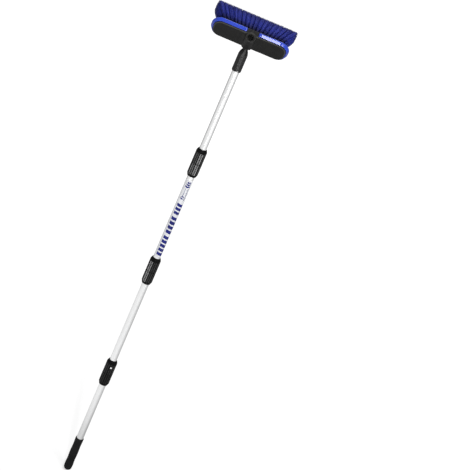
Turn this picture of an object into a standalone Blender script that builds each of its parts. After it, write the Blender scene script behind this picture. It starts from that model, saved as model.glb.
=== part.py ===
"""Car wash brush: a four-section screw-together pole with a bristle head.

Metres, +Z up. The pole's axis is Z and its grip butt is the origin.
The head is modelled in its own frame: X along its length, Y across it towards
the spare socket, Z out of its cover. One empty turns that frame onto the pole.
"""
import random
from math import atan2, cos, hypot, pi, radians, sin, tan

import bmesh
import bpy
from mathutils import Matrix, Vector

# Fits
TOUCH_GAP = 0.0003
CUT_OVERRUN = 0.0040
MERGE_DISTANCE = 0.00005

# Pole lengths, from the butt of the grip upwards
GRIP_SECTION_REACH = 0.3780
MIDDLE_SECTION_REACH = 0.3740
TIP_SECTION_REACH = 0.3743

# Tubes
TUBE_DIAMETER = 0.0220
TUBE_WALL = 0.0012
TUBE_SIDES = 24

# Foam grip over the lowest tube
GRIP_LENGTH = 0.1240
GRIP_END_DIAMETER = 0.0268
GRIP_WAIST_DIAMETER = 0.0248
GRIP_MOUTH_DIAMETER = 0.0264
GRIP_BORE_FLOOR = 0.0205
GRIP_MOUTH_ROUND = 0.0012
GRIP_SIDES = 20
GRIP_DOME_STEPS = 5
# Swell of the grip, from its lower waist to its mouth: place and fullness
GRIP_SWELL_SHARES = ((0.30, 0.0), (0.43, 0.5), (0.57, 1.0), (0.67, 0.5), (0.77, 0.0), (0.88, 0.6))
HANG_HOLE_WIDTH = 0.0080
HANG_HOLE_HEIGHT = 0.0092
HANG_HOLE_SIDES = 16

# Collars that join two sections
COLLAR_DIAMETER = 0.0332
COLLAR_NECK_DIAMETER = 0.0272
COLLAR_CHAMFER = 0.0077
COLLAR_NECK_LENGTH = 0.0010
COLLAR_SHOULDER_ROUND = 0.0010
COLLAR_TUBE_DEPTH = 0.0280
COLLAR_SIDES = 24
MALE_COLLAR_LENGTH = 0.0435
FEMALE_COLLAR_LENGTH = 0.0469
STUB_DIAMETER = 0.0260
STUB_LENGTH = 0.0160
STUB_BORE_DIAMETER = 0.0180
STUB_ROUND = 0.0012
SOCKET_SPARE_DEPTH = 0.0012

# Ladder pattern moulded round each collar: columns of dimples between grooves
LADDER_COLUMNS = 8
LADDER_RUNGS = 6
LADDER_PITCH = 0.0056
LADDER_GROOVE_DEPTH = 0.0009
LADDER_DIMPLE_DEPTH = 0.0010
LADDER_RAIL_WIDTH = 0.0012
LADDER_COLUMN_SHARE = 0.667

# Plug with the threaded tip
PLUG_DIAMETER = 0.0290
PLUG_BODY_LENGTH = 0.0500
PLUG_TAPER_LENGTH = 0.0178
PLUG_NECK_LENGTH = 0.0040
PLUG_NECK_DIAMETER = 0.0166
PLUG_FOOT_DIAMETER = 0.0276
PLUG_FOOT_LENGTH = 0.0022
PLUG_GROOVE_DEPTH = 0.0006
PLUG_SHOULDER_SHARE = 0.72
PLUG_SHOULDER_HEIGHT_SHARE = 0.55
PLUG_TUBE_DEPTH = 0.0400
PLUG_FACETS = 8
PLUG_FACET_SHARE = 0.72
TIP_DIAMETER = 0.0184
TIP_LENGTH = 0.0188
TIP_CHAMFER = 0.0014

# Screws that pin collars to tubes
SCREW_HEAD_DIAMETER = 0.0066
SCREW_HEAD_HEIGHT = 0.0014
SCREW_CROWN_DIAMETER = 0.0042
SCREW_RECESS_DIAMETER = 0.0020
SCREW_RECESS_DEPTH = 0.0009
SCREW_SHANK_DIAMETER = 0.0030
SCREW_SHANK_LENGTH = 0.0070
SCREW_SIDES = 10
SCREW_SEAT_DEPTH = 0.0016
MALE_SCREW_HEIGHT = 0.0180
FEMALE_SCREW_DROP = 0.0226
PLUG_SCREW_HEIGHT = 0.0225
# Turns of the screws' side from the back of the pole, as each section was screwed home
SOCKET_SCREW_TURNS = {2: radians(195), 3: 0, 4: 0}

# Head: angles of the two sockets to the cover, and places of their mouths
HANDLE_ANGLE = radians(36.0)
SPARE_ANGLE = radians(33.0)
HANDLE_MOUTH_REACH = 0.0310
HANDLE_MOUTH_HEIGHT = 0.0020
SPARE_MOUTH_REACH = 0.0326
SPARE_MOUTH_HEIGHT = 0.0126
SOCKET_BORE_DIAMETER = 0.0190
SOCKET_BORE_DEPTH = 0.0200
SOCKET_BORE_SIDES = 24
SPARE_RIM_HALF_WIDTH = 0.0150
SPARE_RIM_HALF_HEIGHT = 0.0128
HANDLE_RIM_HALF_WIDTH = 0.0132
HANDLE_RIM_HALF_HEIGHT = 0.0118
RIM_SIDES = 18
KEEL_REACH = 0.0305
KEEL_HEIGHT = -0.0200
CHEEK_HALF_WIDTH = 0.0140
CHEEK_HEIGHT = -0.0030
FLARE_RUN = 0.0190
FLARE_RISE_SPARE = 0.0115
FLARE_RISE_HANDLE = 0.0070
FLARE_STEPS = 5

# Block under the boss
COVER_LENGTH = 0.2170
COVER_WIDTH = 0.0626
COVER_CORNER = 0.0240
COVER_LIP = 0.0045
COVER_EDGE_ROUND = 0.0028
COVER_CROWN = 0.0006
COVER_FLAT_INSET = 0.0120
BLOCK_DEPTH = 0.0210
BLOCK_INSET = 0.0033
CORNER_STEPS = 8

# Soft bumper halves
BUMPER_PROUD_OF_ENDS = 0.0082
BUMPER_PROUD_OF_SIDES = 0.0050
BUMPER_CORNER_MORE = 0.0070
BUMPER_GAP = 0.0330
BUMPER_TOP = -0.0020
BUMPER_BROW = -0.0034
BUMPER_NOSE = -0.0085
BUMPER_CHIN = -0.0122
BUMPER_SOLE = -0.0140
BUMPER_FOOT = -0.0150
BUMPER_BROW_SHARE = 0.50
BUMPER_CHIN_SHARE = 0.94
BUMPER_SOLE_SHARE = 0.62

# Bristles
ROW_PITCH = 0.0104
TUFT_PITCH = 0.0103
TUFTS_PER_ROW = (17, 19, 20, 19, 17)
BACKING_DEPTH = 0.0020
BRISTLE_REACH = 0.0742
TIP_FIELD_LENGTH = 0.2480
TIP_FIELD_WIDTH = 0.0665
STRAND_INSET = 0.0010
STRAND_RAGGED = 0.0014
STRAND_FULL_SHARE = 0.97
RAGGED_SEED = 11

# Heights and sizes that follow
TUBE_RADIUS = TUBE_DIAMETER / 2
TUBE_BORE_RADIUS = TUBE_RADIUS + TOUCH_GAP
JOINT_1 = GRIP_SECTION_REACH
JOINT_2 = JOINT_1 + MIDDLE_SECTION_REACH
JOINT_3 = JOINT_2 + MIDDLE_SECTION_REACH
TIP_ROOT = JOINT_3 + TIP_SECTION_REACH
PLUG_LENGTH = PLUG_BODY_LENGTH + PLUG_TAPER_LENGTH + PLUG_NECK_LENGTH
LADDER_LENGTH = LADDER_RUNGS * LADDER_PITCH
SOCKET_BORE_RADIUS = SOCKET_BORE_DIAMETER / 2
BLOCK_LENGTH = COVER_LENGTH - 2 * BLOCK_INSET
BLOCK_WIDTH = COVER_WIDTH - 2 * BLOCK_INSET
BLOCK_CORNER = COVER_CORNER - BLOCK_INSET
BUMPER_LENGTH = COVER_LENGTH + 2 * BUMPER_PROUD_OF_ENDS
BUMPER_WIDTH = COVER_WIDTH + 2 * BUMPER_PROUD_OF_SIDES
BUMPER_CORNER = COVER_CORNER + BUMPER_CORNER_MORE


def clear_scene():
    for item in list(bpy.data.objects):
        bpy.data.objects.remove(item, do_unlink=True)


def new_collection(name):
    collection = bpy.data.collections.new(name)
    bpy.context.scene.collection.children.link(collection)
    return collection


clear_scene()
PARTS = new_collection("car_wash_brush")
CUTTERS = new_collection("cutters")


def new_material(name, colour, roughness, metallic=0.0):
    made = bpy.data.materials.new(name)
    made.use_nodes = True
    shader = made.node_tree.nodes["Principled BSDF"]
    shader.inputs["Base Color"].default_value = (*colour, 1.0)
    shader.inputs["Roughness"].default_value = roughness
    shader.inputs["Metallic"].default_value = metallic
    return made


FOAM = new_material("black_foam", (0.012, 0.012, 0.012), 0.75)
COLLAR_PLASTIC = new_material("black_collar_plastic", (0.010, 0.010, 0.011), 0.38)
BLOCK_PLASTIC = new_material("black_block_plastic", (0.016, 0.016, 0.016), 0.55)
ALUMINIUM = new_material("satin_aluminium", (0.80, 0.81, 0.82), 0.32, 0.9)
SCREW_STEEL = new_material("plated_steel", (0.72, 0.72, 0.72), 0.25, 1.0)
BUMPER_RUBBER = new_material("blue_soft_rubber", (0.012, 0.045, 0.62), 0.30)
BRISTLE_FIBRE = new_material("blue_bristle", (0.030, 0.025, 0.34), 0.50)


def place(name, mesh, material, parent=None, location=(0, 0, 0)):
    """Put a finished mesh in the scene as one named piece."""
    piece = bpy.data.objects.new(name, mesh)
    PARTS.objects.link(piece)
    mesh.materials.clear()
    mesh.materials.append(material)
    piece.location = location
    piece.parent = parent
    mesh.shade_smooth()
    mesh.set_sharp_from_angle(angle=radians(32))
    return piece


def guide(name, mesh, parent=None, matrix=None):
    """A hidden body that cuts or joins a piece."""
    body = bpy.data.objects.new(name, mesh)
    CUTTERS.objects.link(body)
    body.hide_render = True
    body.display_type = "WIRE"
    body.parent = parent
    if matrix is not None:
        body.matrix_local = matrix
    return body


def combine(piece, other, operation):
    modifier = piece.modifiers.new(other.name, "BOOLEAN")
    modifier.operation = operation
    modifier.solver = "EXACT"
    modifier.object = other


def frame_empty(name, location, rotation_x=0.0, parent=None):
    empty = bpy.data.objects.new(name, None)
    PARTS.objects.link(empty)
    empty.location = location
    empty.rotation_euler = (rotation_x, 0, 0)
    empty.parent = parent
    return empty


def turned_mesh(name, profile, steps, closed=False):
    """Revolve a profile of (radius, height) points about Z with a Screw modifier."""
    mesh = bpy.data.meshes.new(name)
    points = [(radius, 0, height) for radius, height in profile]
    edges = [(i, i + 1) for i in range(len(points) - 1)]
    if closed:
        edges.append((len(points) - 1, 0))
    mesh.from_pydata(points, edges, [])
    body = bpy.data.objects.new(name, mesh)
    bpy.context.scene.collection.objects.link(body)
    screw = body.modifiers.new("turn", "SCREW")
    screw.steps = steps
    screw.render_steps = steps
    screw.use_merge_vertices = True
    screw.merge_threshold = MERGE_DISTANCE
    bpy.context.view_layer.update()
    evaluated = body.evaluated_get(bpy.context.evaluated_depsgraph_get())
    solid = bpy.data.meshes.new_from_object(evaluated)
    solid.name = name
    bpy.data.objects.remove(body)
    return solid


def cylinder_mesh(name, radius, length, sides):
    """A cylinder that stands on its own origin and reaches up Z."""
    mesh = bpy.data.meshes.new(name)
    bm = bmesh.new()
    bmesh.ops.create_cone(bm, cap_ends=True, segments=sides, radius1=radius, radius2=radius,
                          depth=length, matrix=Matrix.Translation((0, 0, length / 2)))
    bm.to_mesh(mesh)
    bm.free()
    return mesh


def loft_mesh(name, rings, looped=True):
    """Skin a row of like-numbered point rings and close both ends."""
    mesh = bpy.data.meshes.new(name)
    bm = bmesh.new()
    rows = [[bm.verts.new(point) for point in ring] for ring in rings]
    count = len(rows[0])
    spans = count if looped else count - 1
    for lower, upper in zip(rows, rows[1:]):
        for i in range(spans):
            j = (i + 1) % count
            bm.faces.new((lower[i], lower[j], upper[j], upper[i]))
    bm.faces.new(rows[0])
    bm.faces.new(rows[-1])
    bmesh.ops.recalc_face_normals(bm, faces=bm.faces)
    bm.to_mesh(mesh)
    bm.free()
    return mesh


def spread_columns(mesh, columns, wide_share, low, high, least_radius, groove_depth=0.0):
    """Widen the columns of a turned zone and sink the grooves between them.

    The zone lies between two heights and outside a radius. Each column has two
    edges; with three lines a column, the third is the groove's bottom.
    """
    period = 2 * pi / columns
    half_wide = period * wide_share / 2
    for vertex in mesh.vertices:
        x, y, z = vertex.co
        radius = hypot(x, y)
        if not (low <= z <= high and radius >= least_radius):
            continue
        turn = (atan2(y, x) + 2 * pi) % (2 * pi)
        column = round(turn / period)
        offset = turn - column * period
        if groove_depth and abs(abs(offset) - period / 2) < period / 8:
            radius -= groove_depth
            new_turn = turn
        else:
            new_turn = column * period + (half_wide if offset > 0 else -half_wide)
        vertex.co.x = radius * cos(new_turn)
        vertex.co.y = radius * sin(new_turn)


def turn_mesh(mesh, angle):
    mesh.transform(Matrix.Rotation(angle, 4, "Z"))


def add_dimples(mesh, low, high, least_radius):
    """Press a dimple into every wide cell of the ladder zone."""
    period = 2 * pi / LADDER_COLUMNS
    bm = bmesh.new()
    bm.from_mesh(mesh)
    cells = []
    for face in bm.faces:
        centre = face.calc_center_median()
        outside = hypot(centre.x, centre.y) > least_radius
        if not (low < centre.z < high and outside and abs(face.normal.z) < 0.5):
            continue
        turn = atan2(centre.y, centre.x)
        offset = turn - round(turn / period) * period
        if abs(offset) < period / 8:
            cells.append(face)
    bmesh.ops.inset_individual(bm, faces=cells, thickness=LADDER_RAIL_WIDTH,
                               depth=-LADDER_DIMPLE_DEPTH, use_even_offset=True)
    bm.to_mesh(mesh)
    bm.free()


def ladder_heights(start, direction):
    """Heights of the lines between the dimples."""
    return [start + direction * i * LADDER_PITCH for i in range(LADDER_RUNGS + 1)]


def dress_collar(mesh, low, high, screw_turn=0):
    """Give a turned collar its columns, grooves and dimples, and turn it round."""
    margin = TOUCH_GAP / 2
    outside = STUB_DIAMETER / 2 + 2 * TOUCH_GAP
    turn_mesh(mesh, pi / COLLAR_SIDES)
    spread_columns(mesh, LADDER_COLUMNS, LADDER_COLUMN_SHARE, low - margin, high + margin,
                   outside, LADDER_GROOVE_DEPTH)
    add_dimples(mesh, low, high, outside)
    turn_mesh(mesh, screw_turn)


def screw_cutter_mesh(name, seat_radius):
    """Screw hole and head seat, drawn along +Z from the pole's axis."""
    hole = SCREW_SHANK_DIAMETER / 2 + TOUCH_GAP
    seat = SCREW_HEAD_DIAMETER / 2 + TOUCH_GAP
    top = COLLAR_DIAMETER / 2 + CUT_OVERRUN
    profile = ((0, top), (seat, top), (seat, seat_radius), (hole, seat_radius),
               (hole, TUBE_WALL), (0, TUBE_WALL))
    return turned_mesh(name, profile, SCREW_SIDES)


def radial_matrix(height, screw_turn):
    """Turn +Z onto the screw's side of the pole, at a height on its axis."""
    outward = Matrix.Rotation(-pi / 2, 4, "X")
    return Matrix.Translation((0, 0, height)) @ Matrix.Rotation(screw_turn, 4, "Z") @ outward


def screw_mesh(name, seat_radius):
    foot = seat_radius + TOUCH_GAP
    top = foot + SCREW_HEAD_HEIGHT
    shank = SCREW_SHANK_DIAMETER / 2
    end = foot - SCREW_SHANK_LENGTH
    profile = ((0, top - SCREW_RECESS_DEPTH), (SCREW_RECESS_DIAMETER / 2, top),
               (SCREW_CROWN_DIAMETER / 2, top), (SCREW_HEAD_DIAMETER / 2, foot),
               (shank, foot), (shank, end), (0, end))
    return turned_mesh(name, profile, SCREW_SIDES)


def add_screw(name, height, seat_radius, collar, tube, parent, screw_turn=0):
    """Drill a collar and its tube, and put a screw in the hole."""
    matrix = radial_matrix(height, screw_turn)
    cutter = guide(name + "_hole", screw_cutter_mesh(name + "_hole", seat_radius), parent, matrix)
    combine(collar, cutter, "DIFFERENCE")
    combine(tube, cutter, "DIFFERENCE")
    screw = place(name, screw_mesh(name, seat_radius), SCREW_STEEL, parent)
    screw.matrix_local = matrix
    return screw


def add_tube(name, low, high, parent):
    inner = TUBE_RADIUS - TUBE_WALL
    profile = ((inner, low), (inner, high), (TUBE_RADIUS, high), (TUBE_RADIUS, low))
    mesh = turned_mesh(name, profile, TUBE_SIDES, closed=True)
    return place(name, mesh, ALUMINIUM, parent)


def add_male_collar(name, parent, top):
    """Collar at a section's upper end; its shoulder is at the joint height."""
    outer = COLLAR_DIAMETER / 2
    neck = COLLAR_NECK_DIAMETER / 2
    stub = STUB_DIAMETER / 2
    bore = STUB_BORE_DIAMETER / 2
    foot = top - MALE_COLLAR_LENGTH
    tube_stop = foot + COLLAR_TUBE_DEPTH
    ladder_high = top - COLLAR_SHOULDER_ROUND
    ladder = ladder_heights(ladder_high, -1)
    stub_top = top + STUB_LENGTH
    profile = [(bore, tube_stop), (bore, stub_top), (stub - STUB_ROUND, stub_top),
               (stub, stub_top - STUB_ROUND), (stub, top), (outer - COLLAR_SHOULDER_ROUND, top)]
    profile += [(outer, height) for height in ladder]
    profile += [(neck, foot + COLLAR_NECK_LENGTH), (neck, foot),
                (TUBE_BORE_RADIUS, foot), (TUBE_BORE_RADIUS, tube_stop)]
    mesh = turned_mesh(name, profile, COLLAR_SIDES, closed=True)
    dress_collar(mesh, ladder[-1], ladder[0])
    return place(name, mesh, COLLAR_PLASTIC, parent)


def add_female_collar(name, parent, joint, screw_turn):
    """Collar at a section's lower end; the stub below seats in its socket."""
    outer = COLLAR_DIAMETER / 2
    neck = COLLAR_NECK_DIAMETER / 2
    socket = STUB_DIAMETER / 2 + TOUCH_GAP
    bore = STUB_BORE_DIAMETER / 2
    foot = joint + TOUCH_GAP
    top = joint + FEMALE_COLLAR_LENGTH
    socket_top = joint + STUB_LENGTH + SOCKET_SPARE_DEPTH
    tube_stop = top - COLLAR_TUBE_DEPTH
    ladder = ladder_heights(foot + COLLAR_SHOULDER_ROUND + LADDER_LENGTH, -1)
    chamfer_low = top - COLLAR_CHAMFER
    profile = [(TUBE_BORE_RADIUS, tube_stop), (TUBE_BORE_RADIUS, top), (neck, top),
               (neck, top - COLLAR_NECK_LENGTH), (outer, chamfer_low)]
    profile += [(outer, height) for height in ladder]
    profile += [(outer - COLLAR_SHOULDER_ROUND, foot), (socket, foot), (socket, socket_top),
                (bore, socket_top), (bore, tube_stop)]
    mesh = turned_mesh(name, profile, COLLAR_SIDES, closed=True)
    dress_collar(mesh, ladder[-1], ladder[0], screw_turn)
    return place(name, mesh, COLLAR_PLASTIC, parent)


def male_tube_end(joint):
    return joint - MALE_COLLAR_LENGTH + COLLAR_TUBE_DEPTH - TOUCH_GAP


def female_tube_end(joint):
    return joint + FEMALE_COLLAR_LENGTH - COLLAR_TUBE_DEPTH + TOUCH_GAP


def male_screw_height(joint):
    return joint - MALE_COLLAR_LENGTH + MALE_SCREW_HEIGHT


def female_screw_height(joint):
    return joint + FEMALE_COLLAR_LENGTH - FEMALE_SCREW_DROP


def grip_outline():
    """Outer side of the grip, from its mouth down to its butt."""
    end = GRIP_END_DIAMETER / 2
    waist = GRIP_WAIST_DIAMETER / 2
    mouth = GRIP_MOUTH_DIAMETER / 2
    points = [(mouth - GRIP_MOUTH_ROUND, GRIP_LENGTH), (mouth, GRIP_LENGTH - GRIP_MOUTH_ROUND)]
    for place_share, fullness in reversed(GRIP_SWELL_SHARES):
        points.append((waist + (end - waist) * fullness, GRIP_LENGTH * place_share))
    for step in range(GRIP_DOME_STEPS):
        turn = pi / 2 * step / GRIP_DOME_STEPS
        points.append((end * cos(turn), end * (1 - sin(turn))))
    points.append((0, 0))
    return points


def add_grip(parent):
    profile = [(0, GRIP_BORE_FLOOR), (TUBE_BORE_RADIUS, GRIP_BORE_FLOOR),
               (TUBE_BORE_RADIUS, GRIP_LENGTH)] + grip_outline()
    grip = place("grip_sleeve", turned_mesh("grip_sleeve", profile, GRIP_SIDES), FOAM, parent)
    length = GRIP_END_DIAMETER + 2 * CUT_OVERRUN
    hole = cylinder_mesh("hang_hole", HANG_HOLE_WIDTH / 2, length, HANG_HOLE_SIDES)
    hole.transform(Matrix.Translation((0, 0, -length / 2)))
    hole.transform(Matrix.Rotation(pi / 2, 4, "Y"))
    hole.transform(Matrix.Diagonal((1, 1, HANG_HOLE_HEIGHT / HANG_HOLE_WIDTH, 1)))
    hole.transform(Matrix.Translation((0, 0, GRIP_END_DIAMETER / 2)))
    combine(grip, guide("hang_hole", hole, parent), "DIFFERENCE")
    return grip


def add_plug(parent):
    """Plug in the top tube: faceted body, taper and the tip that screws into the head."""
    outer = PLUG_DIAMETER / 2
    neck = PLUG_NECK_DIAMETER / 2
    foot_radius = PLUG_FOOT_DIAMETER / 2
    tip = TIP_DIAMETER / 2
    foot = TIP_ROOT - PLUG_LENGTH
    taper_top = TIP_ROOT - PLUG_NECK_LENGTH
    taper_low = foot + PLUG_BODY_LENGTH
    shoulder = neck + (outer - neck) * PLUG_SHOULDER_SHARE
    shoulder_height = taper_low + PLUG_TAPER_LENGTH * (1 - PLUG_SHOULDER_HEIGHT_SHARE)
    bore_top = foot + PLUG_TUBE_DEPTH
    end = TIP_ROOT + TIP_LENGTH
    groove_low = foot + PLUG_FOOT_LENGTH
    groove_high = groove_low + PLUG_GROOVE_DEPTH
    facet_low = groove_high + 2 * PLUG_GROOVE_DEPTH
    profile = ((0, end), (tip - TIP_CHAMFER, end), (tip, end - TIP_CHAMFER), (tip, TIP_ROOT),
               (neck, TIP_ROOT), (neck, taper_top), (shoulder, shoulder_height),
               (outer, taper_low), (outer, facet_low), (outer - PLUG_GROOVE_DEPTH, groove_high),
               (foot_radius, groove_low), (foot_radius, foot), (TUBE_BORE_RADIUS, foot),
               (TUBE_BORE_RADIUS, bore_top), (0, bore_top))
    mesh = turned_mesh("tip_plug", profile, 2 * PLUG_FACETS)
    turn_mesh(mesh, pi / (2 * PLUG_FACETS))
    spread_columns(mesh, PLUG_FACETS, PLUG_FACET_SHARE, facet_low - TOUCH_GAP,
                   shoulder_height + TOUCH_GAP, TUBE_BORE_RADIUS + TOUCH_GAP)
    return place("tip_plug", mesh, COLLAR_PLASTIC, parent)


def build_grip_section():
    body = frame_empty("grip_section", (0, 0, 0))
    add_grip(body)
    tube = add_tube("grip_tube", GRIP_BORE_FLOOR + TOUCH_GAP, male_tube_end(JOINT_1), body)
    collar = add_male_collar("male_collar_1", body, JOINT_1)
    seat = COLLAR_DIAMETER / 2 - SCREW_SEAT_DEPTH
    add_screw("male_screw_1", male_screw_height(JOINT_1), seat, collar, tube, body)


def build_middle_section(number, tube_name, low_joint, high_joint):
    body = frame_empty("section_%d" % number, (0, 0, 0))
    tube = add_tube(tube_name, female_tube_end(low_joint), male_tube_end(high_joint), body)
    seat = COLLAR_DIAMETER / 2 - SCREW_SEAT_DEPTH
    turn = SOCKET_SCREW_TURNS[number]
    lower = add_female_collar("socket_collar_%d" % number, body, low_joint, turn)
    upper = add_male_collar("male_collar_%d" % number, body, high_joint)
    add_screw("socket_screw_%d" % number, female_screw_height(low_joint), seat, lower, tube,
              body, turn)
    add_screw("male_screw_%d" % number, male_screw_height(high_joint), seat, upper, tube, body)


def build_tip_section():
    body = frame_empty("section_4", (0, 0, 0))
    foot = TIP_ROOT - PLUG_LENGTH
    tube_top = foot + PLUG_TUBE_DEPTH - TOUCH_GAP
    tube = add_tube("upper_tube", female_tube_end(JOINT_3), tube_top, body)
    seat = COLLAR_DIAMETER / 2 - SCREW_SEAT_DEPTH
    turn = SOCKET_SCREW_TURNS[4]
    lower = add_female_collar("socket_collar_4", body, JOINT_3, turn)
    add_screw("socket_screw_4", female_screw_height(JOINT_3), seat, lower, tube, body, turn)
    plug = add_plug(body)
    plug_seat = PLUG_DIAMETER / 2 - SCREW_SEAT_DEPTH
    add_screw("tip_screw", foot + PLUG_SCREW_HEIGHT, plug_seat, plug, tube, body)


def stadium_ring(length, width, corner, height):
    """Points of a round-ended outline, anticlockwise seen from above."""
    ring = []
    for x_side, y_side, start in ((1, 1, 0), (-1, 1, pi / 2), (-1, -1, pi), (1, -1, 3 * pi / 2)):
        for step in range(CORNER_STEPS + 1):
            turn = start + pi / 2 * step / CORNER_STEPS
            x = x_side * (length / 2 - corner) + corner * cos(turn)
            y = y_side * (width / 2 - corner) + corner * sin(turn)
            ring.append(Vector((x, y, height)))
    return ring


def inset_stadium(inset, height):
    return stadium_ring(COVER_LENGTH - 2 * inset, COVER_WIDTH - 2 * inset,
                        COVER_CORNER - inset, height)


def block_mesh():
    """Body of the block and its overhanging cover, as one loft of outlines."""
    round_third = COVER_EDGE_ROUND * (1 - cos(pi / 4))
    rings = [
        inset_stadium(BLOCK_INSET, -BLOCK_DEPTH),
        inset_stadium(BLOCK_INSET, -COVER_LIP),
        inset_stadium(0, -COVER_LIP),
        inset_stadium(0, -COVER_EDGE_ROUND),
        inset_stadium(round_third, -round_third),
        inset_stadium(COVER_EDGE_ROUND, 0),
        inset_stadium(COVER_FLAT_INSET, COVER_CROWN),
    ]
    return loft_mesh("brush_block", rings)


def mouth_axes(angle, side):
    """Outward normal of a socket mouth and the upward line in its face."""
    normal = Vector((0, side * cos(angle), sin(angle)))
    upward = Vector((0, -side * sin(angle), cos(angle)))
    return normal, upward


def mouth_outline(reach, height, angle, side, half_width, half_height):
    """Rim of a mouth with the cheeks and keel below it."""
    _, upward = mouth_axes(angle, side)
    centre = Vector((0, side * reach, height))
    points = []
    for step in range(RIM_SIDES):
        turn = 2 * pi * step / RIM_SIDES
        across = Vector((half_width * cos(turn), 0, 0))
        points.append(centre + across + upward * (half_height * sin(turn)))
    points.append(Vector((CHEEK_HALF_WIDTH, side * COVER_WIDTH / 2, CHEEK_HEIGHT)))
    points.append(Vector((-CHEEK_HALF_WIDTH, side * COVER_WIDTH / 2, CHEEK_HEIGHT)))
    points.append(Vector((0, side * KEEL_REACH, KEEL_HEIGHT)))
    return points


def boss_mesh():
    """Saddle between the two mouths: the hull of both rims and their keels."""
    mesh = bpy.data.meshes.new("boss")
    bm = bmesh.new()
    points = mouth_outline(SPARE_MOUTH_REACH, SPARE_MOUTH_HEIGHT, SPARE_ANGLE, 1,
                           SPARE_RIM_HALF_WIDTH, SPARE_RIM_HALF_HEIGHT)
    points += mouth_outline(HANDLE_MOUTH_REACH, HANDLE_MOUTH_HEIGHT, HANDLE_ANGLE, -1,
                            HANDLE_RIM_HALF_WIDTH, HANDLE_RIM_HALF_HEIGHT)
    corners = [bm.verts.new(point) for point in points]
    hull = bmesh.ops.convex_hull(bm, input=corners, use_existing_faces=False)
    spare = [item for item in hull["geom_interior"] if isinstance(item, bmesh.types.BMVert)]
    bmesh.ops.delete(bm, geom=spare, context="VERTS")
    bmesh.ops.dissolve_limit(bm, angle_limit=radians(1), verts=bm.verts, edges=bm.edges)
    bmesh.ops.recalc_face_normals(bm, faces=bm.faces)
    bm.to_mesh(mesh)
    bm.free()
    return mesh


def flare_ring(half_width, rise, reach):
    """Section of the fillets that run the boss into the cover."""
    foot = -COVER_LIP + TOUCH_GAP
    outside = half_width + FLARE_RUN
    ring = [Vector((-outside, reach, foot))]
    for step in range(FLARE_STEPS + 1):
        turn = pi / 2 * step / FLARE_STEPS
        ring.append(Vector((FLARE_RUN * sin(turn) - outside, reach, rise * (1 - cos(turn)))))
    for point in reversed(ring[:]):
        ring.append(Vector((-point.x, reach, point.z)))
    return ring


def flare_mesh():
    reach = COVER_WIDTH / 2 - COVER_EDGE_ROUND
    rings = [flare_ring(CHEEK_HALF_WIDTH, FLARE_RISE_SPARE, reach),
             flare_ring(HANDLE_RIM_HALF_WIDTH, FLARE_RISE_HANDLE, -reach)]
    return loft_mesh("flare", rings)


def bore_matrix(reach, height, angle, side):
    """Place a bore cutter: +Z of the cutter runs out of the mouth."""
    normal, _ = mouth_axes(angle, side)
    centre = Vector((0, side * reach, height))
    turn = Vector((0, 0, 1)).rotation_difference(normal).to_matrix().to_4x4()
    return Matrix.Translation(centre - normal * SOCKET_BORE_DEPTH) @ turn


def field_size():
    rows = len(TUFTS_PER_ROW)
    return TUFT_PITCH * max(TUFTS_PER_ROW), ROW_PITCH * rows


def recess_mesh():
    """Pocket in the underside that takes the backing strips."""
    mesh = bpy.data.meshes.new("backing_recess")
    rows = len(TUFTS_PER_ROW)
    edges = []
    for row, tufts in enumerate(TUFTS_PER_ROW):
        half = tufts * TUFT_PITCH / 2 + TOUCH_GAP
        low = (row - rows / 2) * ROW_PITCH
        low -= TOUCH_GAP if row == 0 else 0
        high = (row + 1 - rows / 2) * ROW_PITCH
        high += TOUCH_GAP if row == rows - 1 else 0
        edges += [(half, low), (half, high)]
    outline = edges + [(-x, y) for x, y in reversed(edges)]
    outline = [point for i, point in enumerate(outline) if point != outline[i - 1]]
    low_height = -BLOCK_DEPTH - CUT_OVERRUN
    high_height = -BLOCK_DEPTH + BACKING_DEPTH
    bm = bmesh.new()
    floor = bm.faces.new([bm.verts.new((x, y, low_height)) for x, y in outline])
    raised = bmesh.ops.extrude_face_region(bm, geom=[floor])
    lifted = [item for item in raised["geom"] if isinstance(item, bmesh.types.BMVert)]
    bmesh.ops.translate(bm, verts=lifted, vec=(0, 0, high_height - low_height))
    bmesh.ops.recalc_face_normals(bm, faces=bm.faces)
    bm.to_mesh(mesh)
    bm.free()
    return mesh


def add_block(head):
    block = place("brush_block", block_mesh(), BLOCK_PLASTIC, head)
    combine(block, guide("flare", flare_mesh(), head), "UNION")
    combine(block, guide("boss", boss_mesh(), head), "UNION")
    length = SOCKET_BORE_DEPTH + CUT_OVERRUN
    bore = cylinder_mesh("socket_bore", SOCKET_BORE_RADIUS, length, SOCKET_BORE_SIDES)
    handle = bore_matrix(HANDLE_MOUTH_REACH, HANDLE_MOUTH_HEIGHT, HANDLE_ANGLE, -1)
    spare = bore_matrix(SPARE_MOUTH_REACH, SPARE_MOUTH_HEIGHT, SPARE_ANGLE, 1)
    combine(block, guide("handle_bore", bore, head, handle), "DIFFERENCE")
    combine(block, guide("spare_bore", bore, head, spare), "DIFFERENCE")
    combine(block, guide("backing_recess", recess_mesh(), head), "DIFFERENCE")
    return block


def half_outline(length, width, corner, side):
    """One end of a round-ended outline, from the bumper's gap round to the gap."""
    gap = side * BUMPER_GAP / 2
    points = [Vector((gap, width / 2, 0))]
    for y_side, start in ((1, pi / 2), (-1, 0)):
        for step in range(CORNER_STEPS + 1):
            turn = start - pi / 2 * step / CORNER_STEPS
            x = side * (length / 2 - corner + corner * cos(turn))
            points.append(Vector((x, y_side * (width / 2 - corner) + corner * sin(turn), 0)))
    points.append(Vector((gap, -width / 2, 0)))
    return points


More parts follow.
